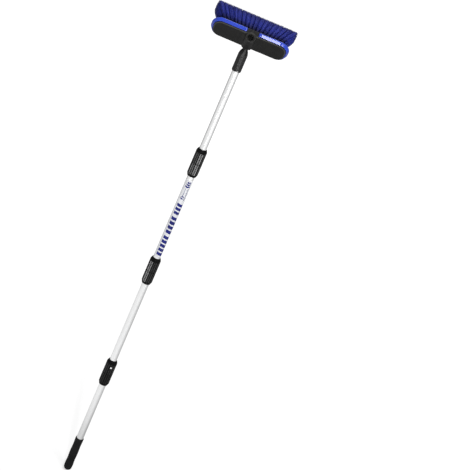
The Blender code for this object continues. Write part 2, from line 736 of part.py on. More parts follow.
def add_bumper(name, side, head):
    """Soft strip round one end of the block, thicker at the nose."""
    wall = BLOCK_INSET - TOUCH_GAP
    seat = half_outline(COVER_LENGTH - 2 * wall, COVER_WIDTH - 2 * wall, COVER_CORNER - wall, side)
    edge = half_outline(COVER_LENGTH + 2 * TOUCH_GAP, COVER_WIDTH + 2 * TOUCH_GAP,
                        COVER_CORNER + TOUCH_GAP, side)
    nose = half_outline(BUMPER_LENGTH, BUMPER_WIDTH, BUMPER_CORNER, side)
    under_lip = -COVER_LIP - TOUCH_GAP
    rings = []
    for inner, rim, outer in zip(seat, edge, nose):
        section = ((inner, under_lip), (rim, under_lip), (rim, BUMPER_TOP),
                   (rim.lerp(outer, BUMPER_BROW_SHARE), BUMPER_BROW), (outer, BUMPER_NOSE),
                   (rim.lerp(outer, BUMPER_CHIN_SHARE), BUMPER_CHIN),
                   (rim.lerp(outer, BUMPER_SOLE_SHARE), BUMPER_SOLE), (inner, BUMPER_FOOT))
        rings.append([Vector((point.x, point.y, height)) for point, height in section])
    return place(name, loft_mesh(name, rings), BUMPER_RUBBER, head)


def add_bristle_row(name, row, tufts, ragged, head):
    """A strip of backing with four strands in each of its tufts."""
    rows = len(TUFTS_PER_ROW)
    centre_y = (row + 0.5 - rows / 2) * ROW_PITCH
    half_width = (ROW_PITCH - TOUCH_GAP) / 2
    half_length = tufts * TUFT_PITCH / 2
    field_length, field_width = field_size()
    stretch_x = TIP_FIELD_LENGTH / field_length
    stretch_y = TIP_FIELD_WIDTH / field_width
    bm = bmesh.new()
    corners = [bm.verts.new((x, centre_y + y, -BLOCK_DEPTH)) for x, y in
               ((-half_length, -half_width), (-half_length, half_width),
                (half_length, half_width), (half_length, -half_width))]
    sole = bm.faces.new(corners)
    raised = bmesh.ops.extrude_face_region(bm, geom=[sole])
    lifted = [item for item in raised["geom"] if isinstance(item, bmesh.types.BMVert)]
    bmesh.ops.translate(bm, verts=lifted, vec=(0, 0, BACKING_DEPTH - TOUCH_GAP))
    bmesh.ops.recalc_face_normals(bm, faces=bm.faces)
    for cut in range(1, tufts):
        sole_faces = [face for face in bm.faces if face.normal.z < -0.5]
        edges = {edge for face in sole_faces for edge in face.edges}
        place_x = -half_length + cut * TUFT_PITCH
        bmesh.ops.bisect_plane(bm, geom=sole_faces + list(edges), dist=MERGE_DISTANCE / 10,
                               plane_co=(place_x, 0, 0), plane_no=(1, 0, 0))
    cells = [face for face in bm.faces if face.normal.z < -0.5]
    quarters = bmesh.ops.poke(bm, faces=cells)["faces"]
    bmesh.ops.inset_individual(bm, faces=quarters, thickness=STRAND_INSET, use_even_offset=True)
    grown = bmesh.ops.extrude_discrete_faces(bm, faces=quarters)["faces"]
    for face in grown:
        middle = face.calc_center_median()
        cell = int((middle.x + half_length) // TUFT_PITCH)
        base = Vector((-half_length + (cell + 0.5) * TUFT_PITCH, centre_y, 0))
        tip = Vector((base.x * stretch_x, base.y * stretch_y, -BRISTLE_REACH))
        tip.z += STRAND_RAGGED * ragged.random()
        for vertex in face.verts:
            offset = vertex.co - base
            vertex.co = (tip.x + offset.x * stretch_x * STRAND_FULL_SHARE,
                         tip.y + offset.y * stretch_y * STRAND_FULL_SHARE, tip.z)
    mesh = bpy.data.meshes.new(name)
    bm.to_mesh(mesh)
    bm.free()
    return place(name, mesh, BRISTLE_FIBRE, head)


def head_origin():
    """Place of the head's frame that puts the handle socket's mouth on the pole."""
    mouth = Vector((0, -HANDLE_MOUTH_REACH, HANDLE_MOUTH_HEIGHT))
    turn = Matrix.Rotation(pi / 2 + HANDLE_ANGLE, 3, "X")
    return Vector((0, 0, TIP_ROOT + TOUCH_GAP)) - turn @ mouth


def build_head():
    head = frame_empty("head", head_origin(), pi / 2 + HANDLE_ANGLE)
    add_block(head)
    add_bumper("bumper_left", -1, head)
    add_bumper("bumper_right", 1, head)
    ragged = random.Random(RAGGED_SEED)
    for row, tufts in enumerate(TUFTS_PER_ROW):
        add_bristle_row("bristle_row_%d" % (row + 1), row, tufts, ragged, head)


build_grip_section()
build_middle_section(2, "lower_tube", JOINT_1, JOINT_2)
build_middle_section(3, "label_tube", JOINT_2, JOINT_3)
build_tip_section()
build_head()
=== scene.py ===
from contextlib import contextmanager
from math import cos, exp, pi, radians, sin, sqrt

import bmesh
import bpy
import numpy as np
from mathutils import Matrix, Vector


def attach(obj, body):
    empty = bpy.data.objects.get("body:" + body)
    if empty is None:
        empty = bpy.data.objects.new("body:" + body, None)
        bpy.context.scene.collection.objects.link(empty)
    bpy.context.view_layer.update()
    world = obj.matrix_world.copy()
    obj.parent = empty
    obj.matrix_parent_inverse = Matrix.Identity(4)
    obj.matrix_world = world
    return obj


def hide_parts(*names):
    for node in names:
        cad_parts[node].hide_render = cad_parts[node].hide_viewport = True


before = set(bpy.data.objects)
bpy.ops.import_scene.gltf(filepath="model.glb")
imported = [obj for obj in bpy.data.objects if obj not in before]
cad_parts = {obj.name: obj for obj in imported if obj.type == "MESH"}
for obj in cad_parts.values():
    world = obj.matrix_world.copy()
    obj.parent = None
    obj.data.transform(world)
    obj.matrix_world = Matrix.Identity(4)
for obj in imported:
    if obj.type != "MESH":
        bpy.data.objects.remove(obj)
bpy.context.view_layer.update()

# Camera, fitted to the photograph: its width and the focal length are in pixels
PHOTO_WIDTH = 470
FOCAL_LENGTH = 1546.2
SENSOR_WIDTH = 36.0
CAMERA_PLACE = (-0.138, -4.248, 2.658)
CAMERA_RIGHT = (0.92252, 0.08000, 0.37758)
CAMERA_FORWARD = (0.07105, 0.92636, -0.36987)

# Sizes shared with the solids, in metres
TUBE_RADIUS = 0.0110
TUBE_WALL = 0.0012
JOINT_1 = 0.3780
JOINT_2 = 0.7520
JOINT_3 = 1.1260
TIP_ROOT = 1.5003
COLLAR_RADIUS = 0.0166
COLLAR_NECK = 0.0136
MALE_LENGTH = 0.0435
FEMALE_LENGTH = 0.0469
STUB_RADIUS = 0.0130
STUB_LENGTH = 0.0160
STUB_BORE = 0.0090
TUBE_BORE = 0.0113
COLLAR_TUBE_DEPTH = 0.0280
LADDER_PITCH = 0.0056
LADDER_RUNGS = 6
LADDER_INSET = 0.0010
SEAT_DEPTH = 0.0016
MALE_SCREW_HEIGHT = 0.0180
FEMALE_SCREW_DROP = 0.0226
PLUG_FOOT = TIP_ROOT - 0.0718
PLUG_RADIUS = 0.0145
PLUG_TUBE_DEPTH = 0.0400
PLUG_SCREW_HEIGHT = 0.0225
BROOM_PITCH = 0.00508
COLLAR_PITCH = 0.0042
GAP = 0.0003
HEAD_ANGLE = radians(36.0)
SPARE_ANGLE = radians(33.0)
HANDLE_MOUTH = (-0.0310, 0.0020)
SPARE_MOUTH = (0.0326, 0.0126)
BORE_RADIUS = 0.0095
BORE_DEPTH = 0.0200
COVER = (0.2170, 0.0626, 0.0240)
BODY = (0.2104, 0.0560, 0.0207)
BLOCK_DEPTH = 0.0210
TUFT_PITCH = 0.0103
ROW_PITCH = 0.0104
TUFTS_PER_ROW = (17, 19, 20, 19, 17)

# Eight columns of rungs stand round each collar, turned to match the photograph
COLUMN = pi / 4
COLUMN_TURN = radians(14.0)

# The head's own frame: X along it, Y across it to the spare socket, Z out of the cover
HEAD_TURN = Matrix.Rotation(pi / 2 + HEAD_ANGLE, 4, "X")
HEAD_AT = Vector((0, 0, TIP_ROOT + GAP)) - HEAD_TURN @ Vector((0, *HANDLE_MOUTH))
HEAD = Matrix.Translation(HEAD_AT) @ HEAD_TURN


def add_object(name, data):
    made = bpy.data.objects.new(name, data)
    bpy.context.scene.collection.objects.link(made)
    return made


def add_camera():
    camera = add_object("camera", bpy.data.cameras.new("camera"))
    right = Vector(CAMERA_RIGHT).normalized()
    forward = Vector(CAMERA_FORWARD)
    forward = (forward - right * forward.dot(right)).normalized()
    matrix = Matrix((right, right.cross(forward), -forward)).transposed().to_4x4()
    matrix.translation = CAMERA_PLACE
    camera.matrix_world = matrix
    camera.data.sensor_width = SENSOR_WIDTH
    camera.data.lens = FOCAL_LENGTH / PHOTO_WIDTH * SENSOR_WIDTH
    camera.data.clip_end = 50
    bpy.context.scene.camera = camera


# ---------------- materials
class Graph:
    """The node tree of a material or a world, with short ways to fill it."""

    def __init__(self, owner):
        owner.use_nodes = True
        self.owner = owner
        self.tree = owner.node_tree
        self.tree.nodes.clear()

    def feed(self, node, inputs):
        """Link each input to a socket, or set it to a number, a vector or a colour."""
        for name, value in inputs.items():
            socket = node.inputs[name]
            if isinstance(value, bpy.types.NodeSocket):
                self.tree.links.new(value, socket)
            elif isinstance(value, tuple):
                socket.default_value = (*value, 1.0)[:len(socket.default_value)]
            else:
                socket.default_value = value

    def node(self, kind, inputs=None, **settings):
        made = self.tree.nodes.new("ShaderNode" + kind)
        for name, value in settings.items():
            setattr(made, name, value)
        self.feed(made, inputs or {})
        return made

    def coordinates(self):
        return self.node("TexCoord").outputs["Object"]

    def attribute(self, name):
        return self.node("Attribute", attribute_name=name).outputs["Fac"]

    def noise(self, vector, scale, detail=4.0, roughness=0.5):
        inputs = {"Vector": vector, "Scale": scale, "Detail": detail, "Roughness": roughness}
        return self.node("TexNoise", inputs).outputs["Fac"]

    def ramp(self, value, *stops):
        """Shades between stops, each a place and a grey or a colour."""
        made = self.node("ValToRGB", {"Fac": value})
        points = made.color_ramp.elements
        while len(points) < len(stops):
            points.new(0.5)
        for point, (place, colour) in zip(points, stops):
            point.position = place
            point.color = (*(colour if isinstance(colour, tuple) else (colour,) * 3), 1.0)
        return made.outputs["Color"]

    def spread(self, value, low, high):
        """Shades between the low and the high parts of a noise."""
        return self.ramp(value, (0.3, low), (0.7, high))

    def bump(self, height, strength, distance, **normal):
        inputs = {"Height": height, "Strength": strength, "Distance": distance, **normal}
        return self.node("Bump", inputs).outputs["Normal"]

    def math(self, operation, *values, clamp=False):
        return self.node("Math", dict(enumerate(values)), operation=operation, use_clamp=clamp).outputs[0]

    def plus(self, a, b):
        return self.math("ADD", a, b)

    def times(self, a, b):
        return self.math("MULTIPLY", a, b)

    def mix(self, share, first, second, blend="MIX"):
        inputs = {"Factor": share, "A": first, "B": second}
        return self.node("Mix", inputs, data_type="RGBA", blend_type=blend).outputs["Result"]


def srgb(*levels):
    """Linear colour from sRGB levels of 0 to 255."""
    shares = (level / 255 for level in levels)
    return tuple(v / 12.92 if v <= 0.04045 else ((v + 0.055) / 1.055) ** 2.4 for v in shares)


def surface(name):
    """A material's graph, its shader and the place on it."""
    g = Graph(bpy.data.materials.new(name))
    shader = g.node("BsdfPrincipled")
    g.node("OutputMaterial", {"Surface": shader.outputs[0]})
    return g, shader, g.coordinates()


def foam_material():
    g, shader, at = surface("look_grip_foam")
    cells = g.node("TexVoronoi", {"Vector": at, "Scale": 1500}).outputs["Distance"]
    grain = g.noise(at, 420, 6, 0.65)
    g.feed(shader, {
        "Base Color": g.spread(g.noise(at, 28, 3), (0.0075, 0.0075, 0.0080), (0.0150, 0.0150, 0.0158)),
        "Roughness": g.spread(grain, 0.62, 0.80),
        "Normal": g.bump(grain, 0.35, 0.0004, Normal=g.bump(cells, 0.25, 0.0003)),
        "Specular IOR Level": 0.15})
    return g.owner


def plastic_material(name, dark, light, rough, grain_scale, grain_depth, specular, worn_and_lit=None, edge=None):
    """Moulded plastic: faint cloudiness, fine grain, a sheen that varies, and scuffing with painted highlight
    on what stands out and on sharp edges.
    """
    g, shader, at = surface(name)
    patches = g.noise(at, 160, 4, 0.6)
    colour = g.spread(g.noise(at, 45, 3), dark, light)
    # Marked points are painted paler: part scuffing, part painted highlight.
    if worn_and_lit is not None:
        scuffed_and_lit = g.attribute("wear_and_highlight")
        broken = g.ramp(patches, (0.25, 0.72), (0.65, 1.0))
        colour = g.mix(g.math("MULTIPLY", scuffed_and_lit, broken, clamp=True), colour, worn_and_lit)
    # Sharp edges are painted paler, a painted highlight where they catch the light.
    if edge is not None:
        pointed = g.ramp(g.node("NewGeometry").outputs["Pointiness"], (0.503, 0.0), (0.535, 1.0))
        broken = g.ramp(patches, (0.30, 0.35), (0.65, 1.0))
        colour = g.mix(g.math("MULTIPLY", pointed, broken, clamp=True), colour, edge)
    g.feed(shader, {
        "Base Color": colour,
        "Roughness": g.spread(patches, *rough),
        "Normal": g.bump(g.noise(at, grain_scale, 5, 0.6), 0.5, grain_depth),
        "Specular IOR Level": specular})
    return g.owner


def rubber_material():
    """Glossy blue soft rubber, a little cloudy inside."""
    g, shader, at = surface("look_bumper")
    cloud = g.noise(at, 30, 3)
    g.feed(shader, {
        "Base Color": g.ramp(cloud, (0.25, srgb(12, 56, 194)), (0.75, srgb(20, 70, 214))),
        "Roughness": g.spread(g.noise(at, 1100, 3, 0.5), 0.44, 0.54),
        "Normal": g.bump(cloud, 0.3, 0.00003),
        "Specular IOR Level": 0.20, "Coat Weight": 1.0, "Coat Roughness": 0.03})
    return g.owner


def tube_material():
    """Satin aluminium with drawn lines along the tube."""
    g, shader, at = surface("look_tube")
    stretched = g.node("Mapping", {"Vector": at, "Scale": (1.0, 1.0, 0.012)}).outputs["Vector"]
    lines = g.noise(stretched, 900, 5, 0.6)
    g.feed(shader, {
        "Base Color": g.spread(g.noise(at, 18, 3), (0.825, 0.828, 0.83), (0.86, 0.862, 0.865)),
        "Roughness": g.spread(lines, 0.26, 0.36),
        "Normal": g.bump(lines, 0.12, 0.00005),
        "Metallic": 0.85})
    return g.owner


def steel_material():
    g, shader, at = surface("look_screw")
    scratch = g.noise(at, 1400, 4, 0.6)
    g.feed(shader, {
        "Base Color": g.spread(scratch, (0.62, 0.62, 0.63), (0.80, 0.80, 0.80)),
        "Roughness": g.spread(scratch, 0.16, 0.30),
        "Normal": g.bump(scratch, 0.1, 0.00004),
        "Metallic": 1.0})
    return g.owner


def bristle_material(name, root, tip, light):
    """Fibre: each filament has its own shade of blue, with painted shade and painted light from the sides and
    ends of the tufts in it; dark at the root, a painted shade between the tufts, and paler towards its tip,
    though a little darker at the very tip.
    """
    g, shader, at = surface(name)
    fine = g.noise(at, 600, 3, 0.5)
    ends = g.ramp(g.attribute("along"), (0.10, root), (0.42, light), (0.66, light), (0.96, tip))
    shade = g.ramp(g.attribute("tone_and_painted_light"), (0.0, 0.40), (1.0, 1.40))
    g.feed(shader, {
        "Base Color": g.mix(1.0, ends, shade, "MULTIPLY"),
        "Roughness": g.spread(fine, 0.36, 0.52),
        "Normal": g.bump(fine, 0.2, 0.00005),
        "Specular IOR Level": 0.35})
    return g.owner


# ---------------- mesh helpers
def smooth(mesh, sharp=None):
    """Shade a mesh smooth, but for edges sharper than an angle in degrees."""
    mesh.shade_smooth()
    if sharp is not None:
        mesh.set_sharp_from_angle(angle=radians(sharp))


@contextmanager
def editing(mesh):
    bm = bmesh.new()
    bm.from_mesh(mesh)
    yield bm
    bm.to_mesh(mesh)
    bm.free()


def add_piece(name, verts, faces, look=None, sharp=None, recalc=True):
    mesh = bpy.data.meshes.new(name)
    mesh.from_pydata([tuple(v) for v in verts], [], faces)
    mesh.update()
    if recalc:
        with editing(mesh) as bm:
            bmesh.ops.recalc_face_normals(bm, faces=bm.faces)
    if look is not None:
        mesh.materials.append(look)
    smooth(mesh, sharp)
    return add_object(name, mesh)


def settle(piece, body, nodes):
    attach(piece, body)
    if nodes:
        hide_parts(*nodes)


def mark(piece, name, values):
    """Store a number for each point, which the piece's material reads."""
    layer = piece.data.attributes.new(name, "FLOAT", "POINT")
    layer.data.foreach_set("value", values.astype(np.float32))


def point_places(piece):
    at = np.empty(len(piece.data.vertices) * 3)
    piece.data.vertices.foreach_get("co", at)
    return at.reshape(-1, 3).T


def make_cutter(operator, place=None, **options):
    """An object to cut with, made by a bmesh operator."""
    mesh = bpy.data.meshes.new("cutter")
    with editing(mesh) as bm:
        operator(bm, **options)
    cutter = add_object("cutter", mesh)
    if place is not None:
        cutter.matrix_world = place
    return cutter


def drill(radius, depth, matrix, place=None):
    return make_cutter(bmesh.ops.create_cone, place, cap_ends=True, segments=40, radius1=radius,
                       radius2=radius, depth=depth, matrix=matrix)


def box(matrix, place=None):
    return make_cutter(bmesh.ops.create_cube, place, size=1.0, matrix=matrix)


def carve(piece, cutter):
    """Cut one object out of another, and remove the cutter."""
    modifier = piece.modifiers.new("cut", "BOOLEAN")
    modifier.operation = "DIFFERENCE"
    modifier.solver = "EXACT"
    modifier.object = cutter
    bpy.context.view_layer.update()
    evaluated = piece.evaluated_get(bpy.context.evaluated_depsgraph_get())
    mesh = bpy.data.meshes.new_from_object(evaluated)
    old = piece.data
    piece.modifiers.clear()
    piece.data = mesh
    mesh.name = piece.name
    bpy.data.meshes.remove(old)
    bpy.data.objects.remove(cutter)


def smoothstep(edge0, edge1, x):
    t = np.clip((x - edge0) / (edge1 - edge0), 0.0, 1.0)
    return t * t * (3 - 2 * t)


def window(x, *edges):
    """0 to 1 between the first two edges, and back to 0 between the last two."""
    return smoothstep(*edges[:2], x) * (1 - smoothstep(*edges[2:], x))


def ring_faces(rows, count, closed=False):
    """Quads between rings of points. Open rings get a face at the first and at the last one."""
    faces = []
    for i in range(rows if closed else rows - 1):
        k = (i + 1) % rows
        for j in range(count):
            m = (j + 1) % count
            faces.append((i * count + j, i * count + m, k * count + m, k * count + j))
    if not closed:
        faces += [tuple(range(count)), tuple(range((rows - 1) * count, rows * count))]
    return faces


def lathe(name, profile, turns, look=None, shape=None, closed=True, sharp=None):
    """Turn a profile of (radius, height, kind) about Z; shape bends the radii of the points with a kind."""
    count = len(turns)
    radii = np.repeat(np.array([[p[0]] for p in profile]), count, axis=1)
    heights = np.array([p[1] for p in profile])
    for i, point in enumerate(profile):
        if shape is not None and len(point) > 2 and point[2]:
            radii[i] = shape(radii[i], heights[i], turns, point[2])
    z = np.repeat(heights[:, None], count, axis=1)
    verts = np.stack([radii * np.cos(turns), radii * np.sin(turns), z], axis=2).reshape(-1, 3).tolist()
    return add_piece(name, verts, ring_faces(len(profile), count, closed), look, sharp)


def steps_from(radius, height, *steps, kind=""):
    """Profile points given as steps from a radius and a height."""
    return [(radius + out, height + up, kind) for out, up in steps]


def spaced(radius, low, high, step, kind=""):
    count = max(2, int(round(abs(high - low) / step)))
    return [(radius, low + (high - low) * i / count, kind) for i in range(count + 1)]


def even_turns(count):
    return np.arange(count) * 2 * pi / count


def column_turns(offsets):
    """Turns in degrees from the middle of each of eight columns."""
    return np.radians([column * 45.0 + offset for column in range(8) for offset in offsets])


def column_offset(turns):
    return np.abs((turns + COLUMN / 2) % COLUMN - COLUMN / 2)


def thread_wave(z, turns, start, end, pitch):
    """0 at the thread's root to 1 at its crest, with run-outs at both ends."""
    phase = ((z - start) / pitch - turns / (2 * pi)) % 1.0
    fade = window(z, start, start + pitch * 0.5, end - pitch * 0.35, end)
    return window(phase, 0.10, 0.24, 0.54, 0.68) * fade


# ---------------- pole
# Turns across a collar's column, close-set where its rails and grooves turn
COLLAR_TURNS = column_turns((-22.5, -19.5, -17.5, -15.8, -14.6, -12.0, -9.6, -8.6, -7.6, -3.8, 0.0,
                             3.8, 7.6, 8.6, 9.6, 12.0, 14.6, 15.8, 17.5, 19.5))
PLUG_TURNS = column_turns((-22.5, -19.5, -17.4, -16.2, -14.6, -9.0, -3.0, 3.0, 9.0, 14.6, 16.2, 17.4, 19.5))
LADDER_LENGTH = LADDER_RUNGS * LADDER_PITCH


def ladder_profile(low):
    """Profile points up the ladder columns, close-set at the edges of the dimples."""
    heights = [low + (rung + 0.5) * LADDER_PITCH + offset for rung in range(LADDER_RUNGS)
               for offset in (-0.0028, -0.0020, -0.0016, -0.0012, 0.0, 0.0012, 0.0016, 0.0020)]
    return [(COLLAR_RADIUS, z, "ladder") for z in heights + [low + LADDER_LENGTH]]


def ladder_zone(z, low):
    high = low + LADDER_LENGTH
    return window(z, low - 0.0004, low + 0.0002, high - 0.0002, high + 0.0004)


def rail_share(offset):
    """0 on the rungs between two rails to 1 on the rails."""
    return smoothstep(radians(7.6), radians(9.6), offset)


def mark_wear_and_highlight(piece, low, turn, left, front, other):
    """Lighten the rails and rungs, part scuffing and part painted highlight: shares for the column left of
    the front, the front one and the rest, so that the columns facing the lamps are painted lighter.
    """
    shares = np.full(8, other)
    for degrees, share in ((-121, left), (-76, front)):
        shares[round((radians(degrees) - turn) / COLUMN) % 8] = share
    x, y, z = point_places(piece)
    around = (np.arctan2(y, x) - turn) / COLUMN
    column = np.round(around)
    offset = np.abs(around - column) * COLUMN
    rail = rail_share(offset) * (1 - smoothstep(radians(14.7), radians(16.2), offset))
    near = np.abs((z - low) / LADDER_PITCH % 1.0 - 0.5) * LADDER_PITCH
    rung = (1 - rail_share(offset)) * smoothstep(0.0013, 0.0019, near)
    skin = np.hypot(x, y) > COLLAR_RADIUS - 0.0012
    mark(piece, "wear_and_highlight", (rail + rung * 0.55) * ladder_zone(z, low) * skin * shares[column.astype(int) % 8])


def sideways(height, turn):
    """A frame on the pole's axis whose Z points out of its side."""
    place = Matrix.Translation((0, 0, height)) @ Matrix.Rotation(turn, 4, "Z")
    return place @ Matrix.Rotation(-pi / 2, 4, "X")


def cut_seat(piece, height, turn, radius):
    """Cut the flat round seat that a screw's head sits in, out of a side of the given radius."""
    bottom = radius - SEAT_DEPTH
    carve(piece, drill(0.0036, 0.008, Matrix.Translation((0, 0, bottom + 0.004)), sideways(height, turn)))


def collar(name, profile, low, thread, screw_height, screw_turn, columns, look, scuffs_and_light):
    """A collar with ladder columns from low up, and a thread given by its start, end and depth."""
    start, end, depth = thread

    def shape(radius, z, turns, kind):
        if kind != "ladder":
            wave = thread_wave(z, turns, start, end, COLLAR_PITCH)
            return radius - depth * (1 - wave) if kind == "stub" else radius + depth * wave
        offset = column_offset(turns)
        zone = ladder_zone(z, low)
        flat = COLLAR_RADIUS * cos(radians(15)) / np.cos(np.minimum(offset, radians(15)))
        groove = smoothstep(radians(14.8), radians(17.6), offset) * 0.0010
        index = (z - low) / LADDER_PITCH
        near = abs(index - round(index - 0.5) - 0.5) * LADDER_PITCH
        dimple = (1 - rail_share(offset)) * (1 - smoothstep(0.0013, 0.0019, near))
        return radius * (1 - zone) + (flat - groove - 0.0011 * dimple) * zone

    piece = lathe(name, profile, COLLAR_TURNS, look, shape)
    piece.data.transform(Matrix.Rotation(columns, 4, "Z"))
    cut_seat(piece, screw_height, screw_turn, COLLAR_RADIUS)
    mark_wear_and_highlight(piece, low, columns, *scuffs_and_light)
    smooth(piece.data, 42)
    return piece


def male_collar(name, top, look, scuffs_and_light):
    foot = top - MALE_LENGTH
    low = top - LADDER_INSET - LADDER_LENGTH
    stop = foot + COLLAR_TUBE_DEPTH
    end = top + STUB_LENGTH
    profile = [(TUBE_BORE + 0.0002, foot)]
    profile += steps_from(COLLAR_NECK, foot, (-0.0003, 0), (0, 0.0004), (0.0001, 0.0012), (0.0006, 0.0026),
                          (0.0016, 0.0050), (0.0024, 0.0068))
    profile += [(COLLAR_RADIUS - 0.0002, foot + 0.0080, "ladder")] + ladder_profile(low)
    profile += steps_from(COLLAR_RADIUS, top, (-0.0003, -0.0006), (-0.0006, -0.0002), (-0.0010, 0))
    profile += [(STUB_RADIUS, top)] + spaced(STUB_RADIUS, top + 0.0003, end - 0.0012, 0.00055, "stub")
    profile += steps_from(STUB_RADIUS, end, (-0.0007, -0.0005), (-0.0014, 0))
    profile += steps_from(STUB_BORE, end, (0.0004, 0), (0, -0.0004))
    profile += [(STUB_BORE, stop), (TUBE_BORE, stop), (TUBE_BORE, foot + 0.0002)]
    return collar(name, profile, low, (top + 0.0015, end - 0.0010, 0.0011), foot + MALE_SCREW_HEIGHT, 0.0,
                  COLUMN_TURN, look, scuffs_and_light)


def female_collar(name, joint, turn, look, scuffs_and_light):
    foot = joint + GAP
    top = joint + FEMALE_LENGTH
    low = foot + LADDER_INSET
    socket = STUB_RADIUS + GAP
    socket_top = joint + STUB_LENGTH + 0.0012
    stop = top - COLLAR_TUBE_DEPTH
    chamfer = top - 0.0077
    profile = [(socket + 0.0004, foot)]
    profile += steps_from(COLLAR_RADIUS, foot, (-0.0010, 0), (-0.0006, 0.0002), (-0.0003, 0.0006))
    profile += ladder_profile(low) + [(COLLAR_RADIUS, low + LADDER_LENGTH + 0.0006)]
    profile += steps_from(COLLAR_RADIUS, chamfer, (0, -0.0008), (-0.00015, 0.0004), (-0.0006, 0.0016))
    profile += steps_from(COLLAR_NECK, chamfer, (0.0014, 0.0040), (0.0004, 0.0062))
    profile += steps_from(COLLAR_NECK, top, (0, -0.0006), (-0.0003, 0))
    profile += steps_from(TUBE_BORE, top, (0.0002, 0), (0, -0.0002))
    profile += [(TUBE_BORE, stop), (STUB_BORE, stop), (STUB_BORE, socket_top), (socket, socket_top)]
    profile += spaced(socket, socket_top - 0.0004, foot + 0.0004, 0.0006, "bore")
    return collar(name, profile, low, (foot + 0.0012, socket_top - 0.0010, 0.0008), top - FEMALE_SCREW_DROP,
                  turn, turn if turn else COLUMN_TURN, look, scuffs_and_light)


def screw_mesh():
    """Domed head with a cross recess on a plain shank, standing along +Z."""
    radius, brim, crown = 0.0033, 0.0003, 0.0011
    profile = [(0.0015, -0.0067), (0.0015, brim), (radius, brim)]
    for step in range(1, 7):
        turn = step / 6 * pi / 2
        profile.append((radius * cos(turn * 0.93), brim + crown * sin(turn)))
    piece = lathe("screw", profile, even_turns(40), closed=False)
    for turn in (0, pi / 2):
        carve(piece, box(Matrix.Translation((0, 0, 0.0015)) @ Matrix.Rotation(turn, 4, "Z")
                         @ Matrix.Diagonal((0.0036, 0.0007, 0.0018, 1))))
    mesh = piece.data.copy()
    bpy.data.objects.remove(piece)
    smooth(mesh, 35)
    return mesh


def add_screw(name, height, turn=0.0, radius=COLLAR_RADIUS):
    screw = add_object(name, SCREW.copy())
    twist = radians(17 + 31 * len(name) + height * 4000)
    screw.data.transform(sideways(height, turn) @ Matrix.Translation((0, 0, radius - SEAT_DEPTH))
                         @ Matrix.Rotation(twist, 4, "Z"))
    screw.data.materials.clear()
    screw.data.materials.append(STEEL)
    return screw


def tube(name, low, high, look):
    inner = TUBE_RADIUS - TUBE_WALL
    edge = 0.0002
    profile = [(inner + edge, low), (TUBE_RADIUS - edge, low), (TUBE_RADIUS, low + edge)]
    profile += spaced(TUBE_RADIUS, low + 0.002, high - 0.002, 0.02)
    profile += [(TUBE_RADIUS, high - edge), (TUBE_RADIUS - edge, high), (inner + edge, high),
                (inner, high - edge), (inner, low + edge)]
    return lathe(name, profile, even_turns(72), look, sharp=50)


def grip(look):
    end, waist, mouth = 0.0134, 0.0124, 0.0132
    length, floor = 0.1240, 0.0205
    keys = ((end, end), (0.0268, end), (0.034, waist + 0.0006), (0.0405, waist + 0.0001),
            (0.0533, waist + 0.0005), (0.0707, end), (0.0831, waist + 0.0005), (0.0955, waist),
            (0.1091, waist + 0.0006), (0.1215, mouth), (0.1228, mouth))
    heights = np.linspace(end, 0.1228, 56)
    radii = np.interp(heights, *zip(*keys))
    for _ in range(2):
        padded = np.concatenate([[radii[0]], radii, [radii[-1]]])
        radii = (padded[:-2] + 2 * padded[1:-1] + padded[2:]) / 4
    profile = []
    for step in range(1, 11):
        turn = pi / 2 * step / 10
        profile.append((end * sin(turn), end * (1 - cos(turn))))
    profile += list(zip(radii[1:], heights[1:]))
    profile += steps_from(mouth, length, (-0.0004, -0.0004), (-0.0011, 0))
    profile += steps_from(TUBE_BORE, length, (0.0003, 0), (0, -0.0004))
    profile += [(TUBE_BORE, floor), (0.0004, floor)]
    piece = lathe("grip_foam", profile, even_turns(72), look, closed=False)
    # The hang hole, a little higher than it is wide, with its rims eased
    carve(piece, drill(0.004, 0.04, Matrix.Translation((0, 0, end)) @ Matrix.Diagonal((1, 1, 1.15, 1))
                       @ Matrix.Rotation(pi / 2, 4, "Y")))
    with editing(piece.data) as bm:
        sharp = [e for e in bm.edges if len(e.link_faces) == 2 and e.calc_face_angle() > radians(35)
                 and max(v.co.z for v in e.verts) < floor - 0.001]
        bmesh.ops.bevel(bm, geom=sharp, offset=0.0006, segments=3, profile=0.5, affect="EDGES",
                        clamp_overlap=True)
    smooth(piece.data, 45)
    return piece


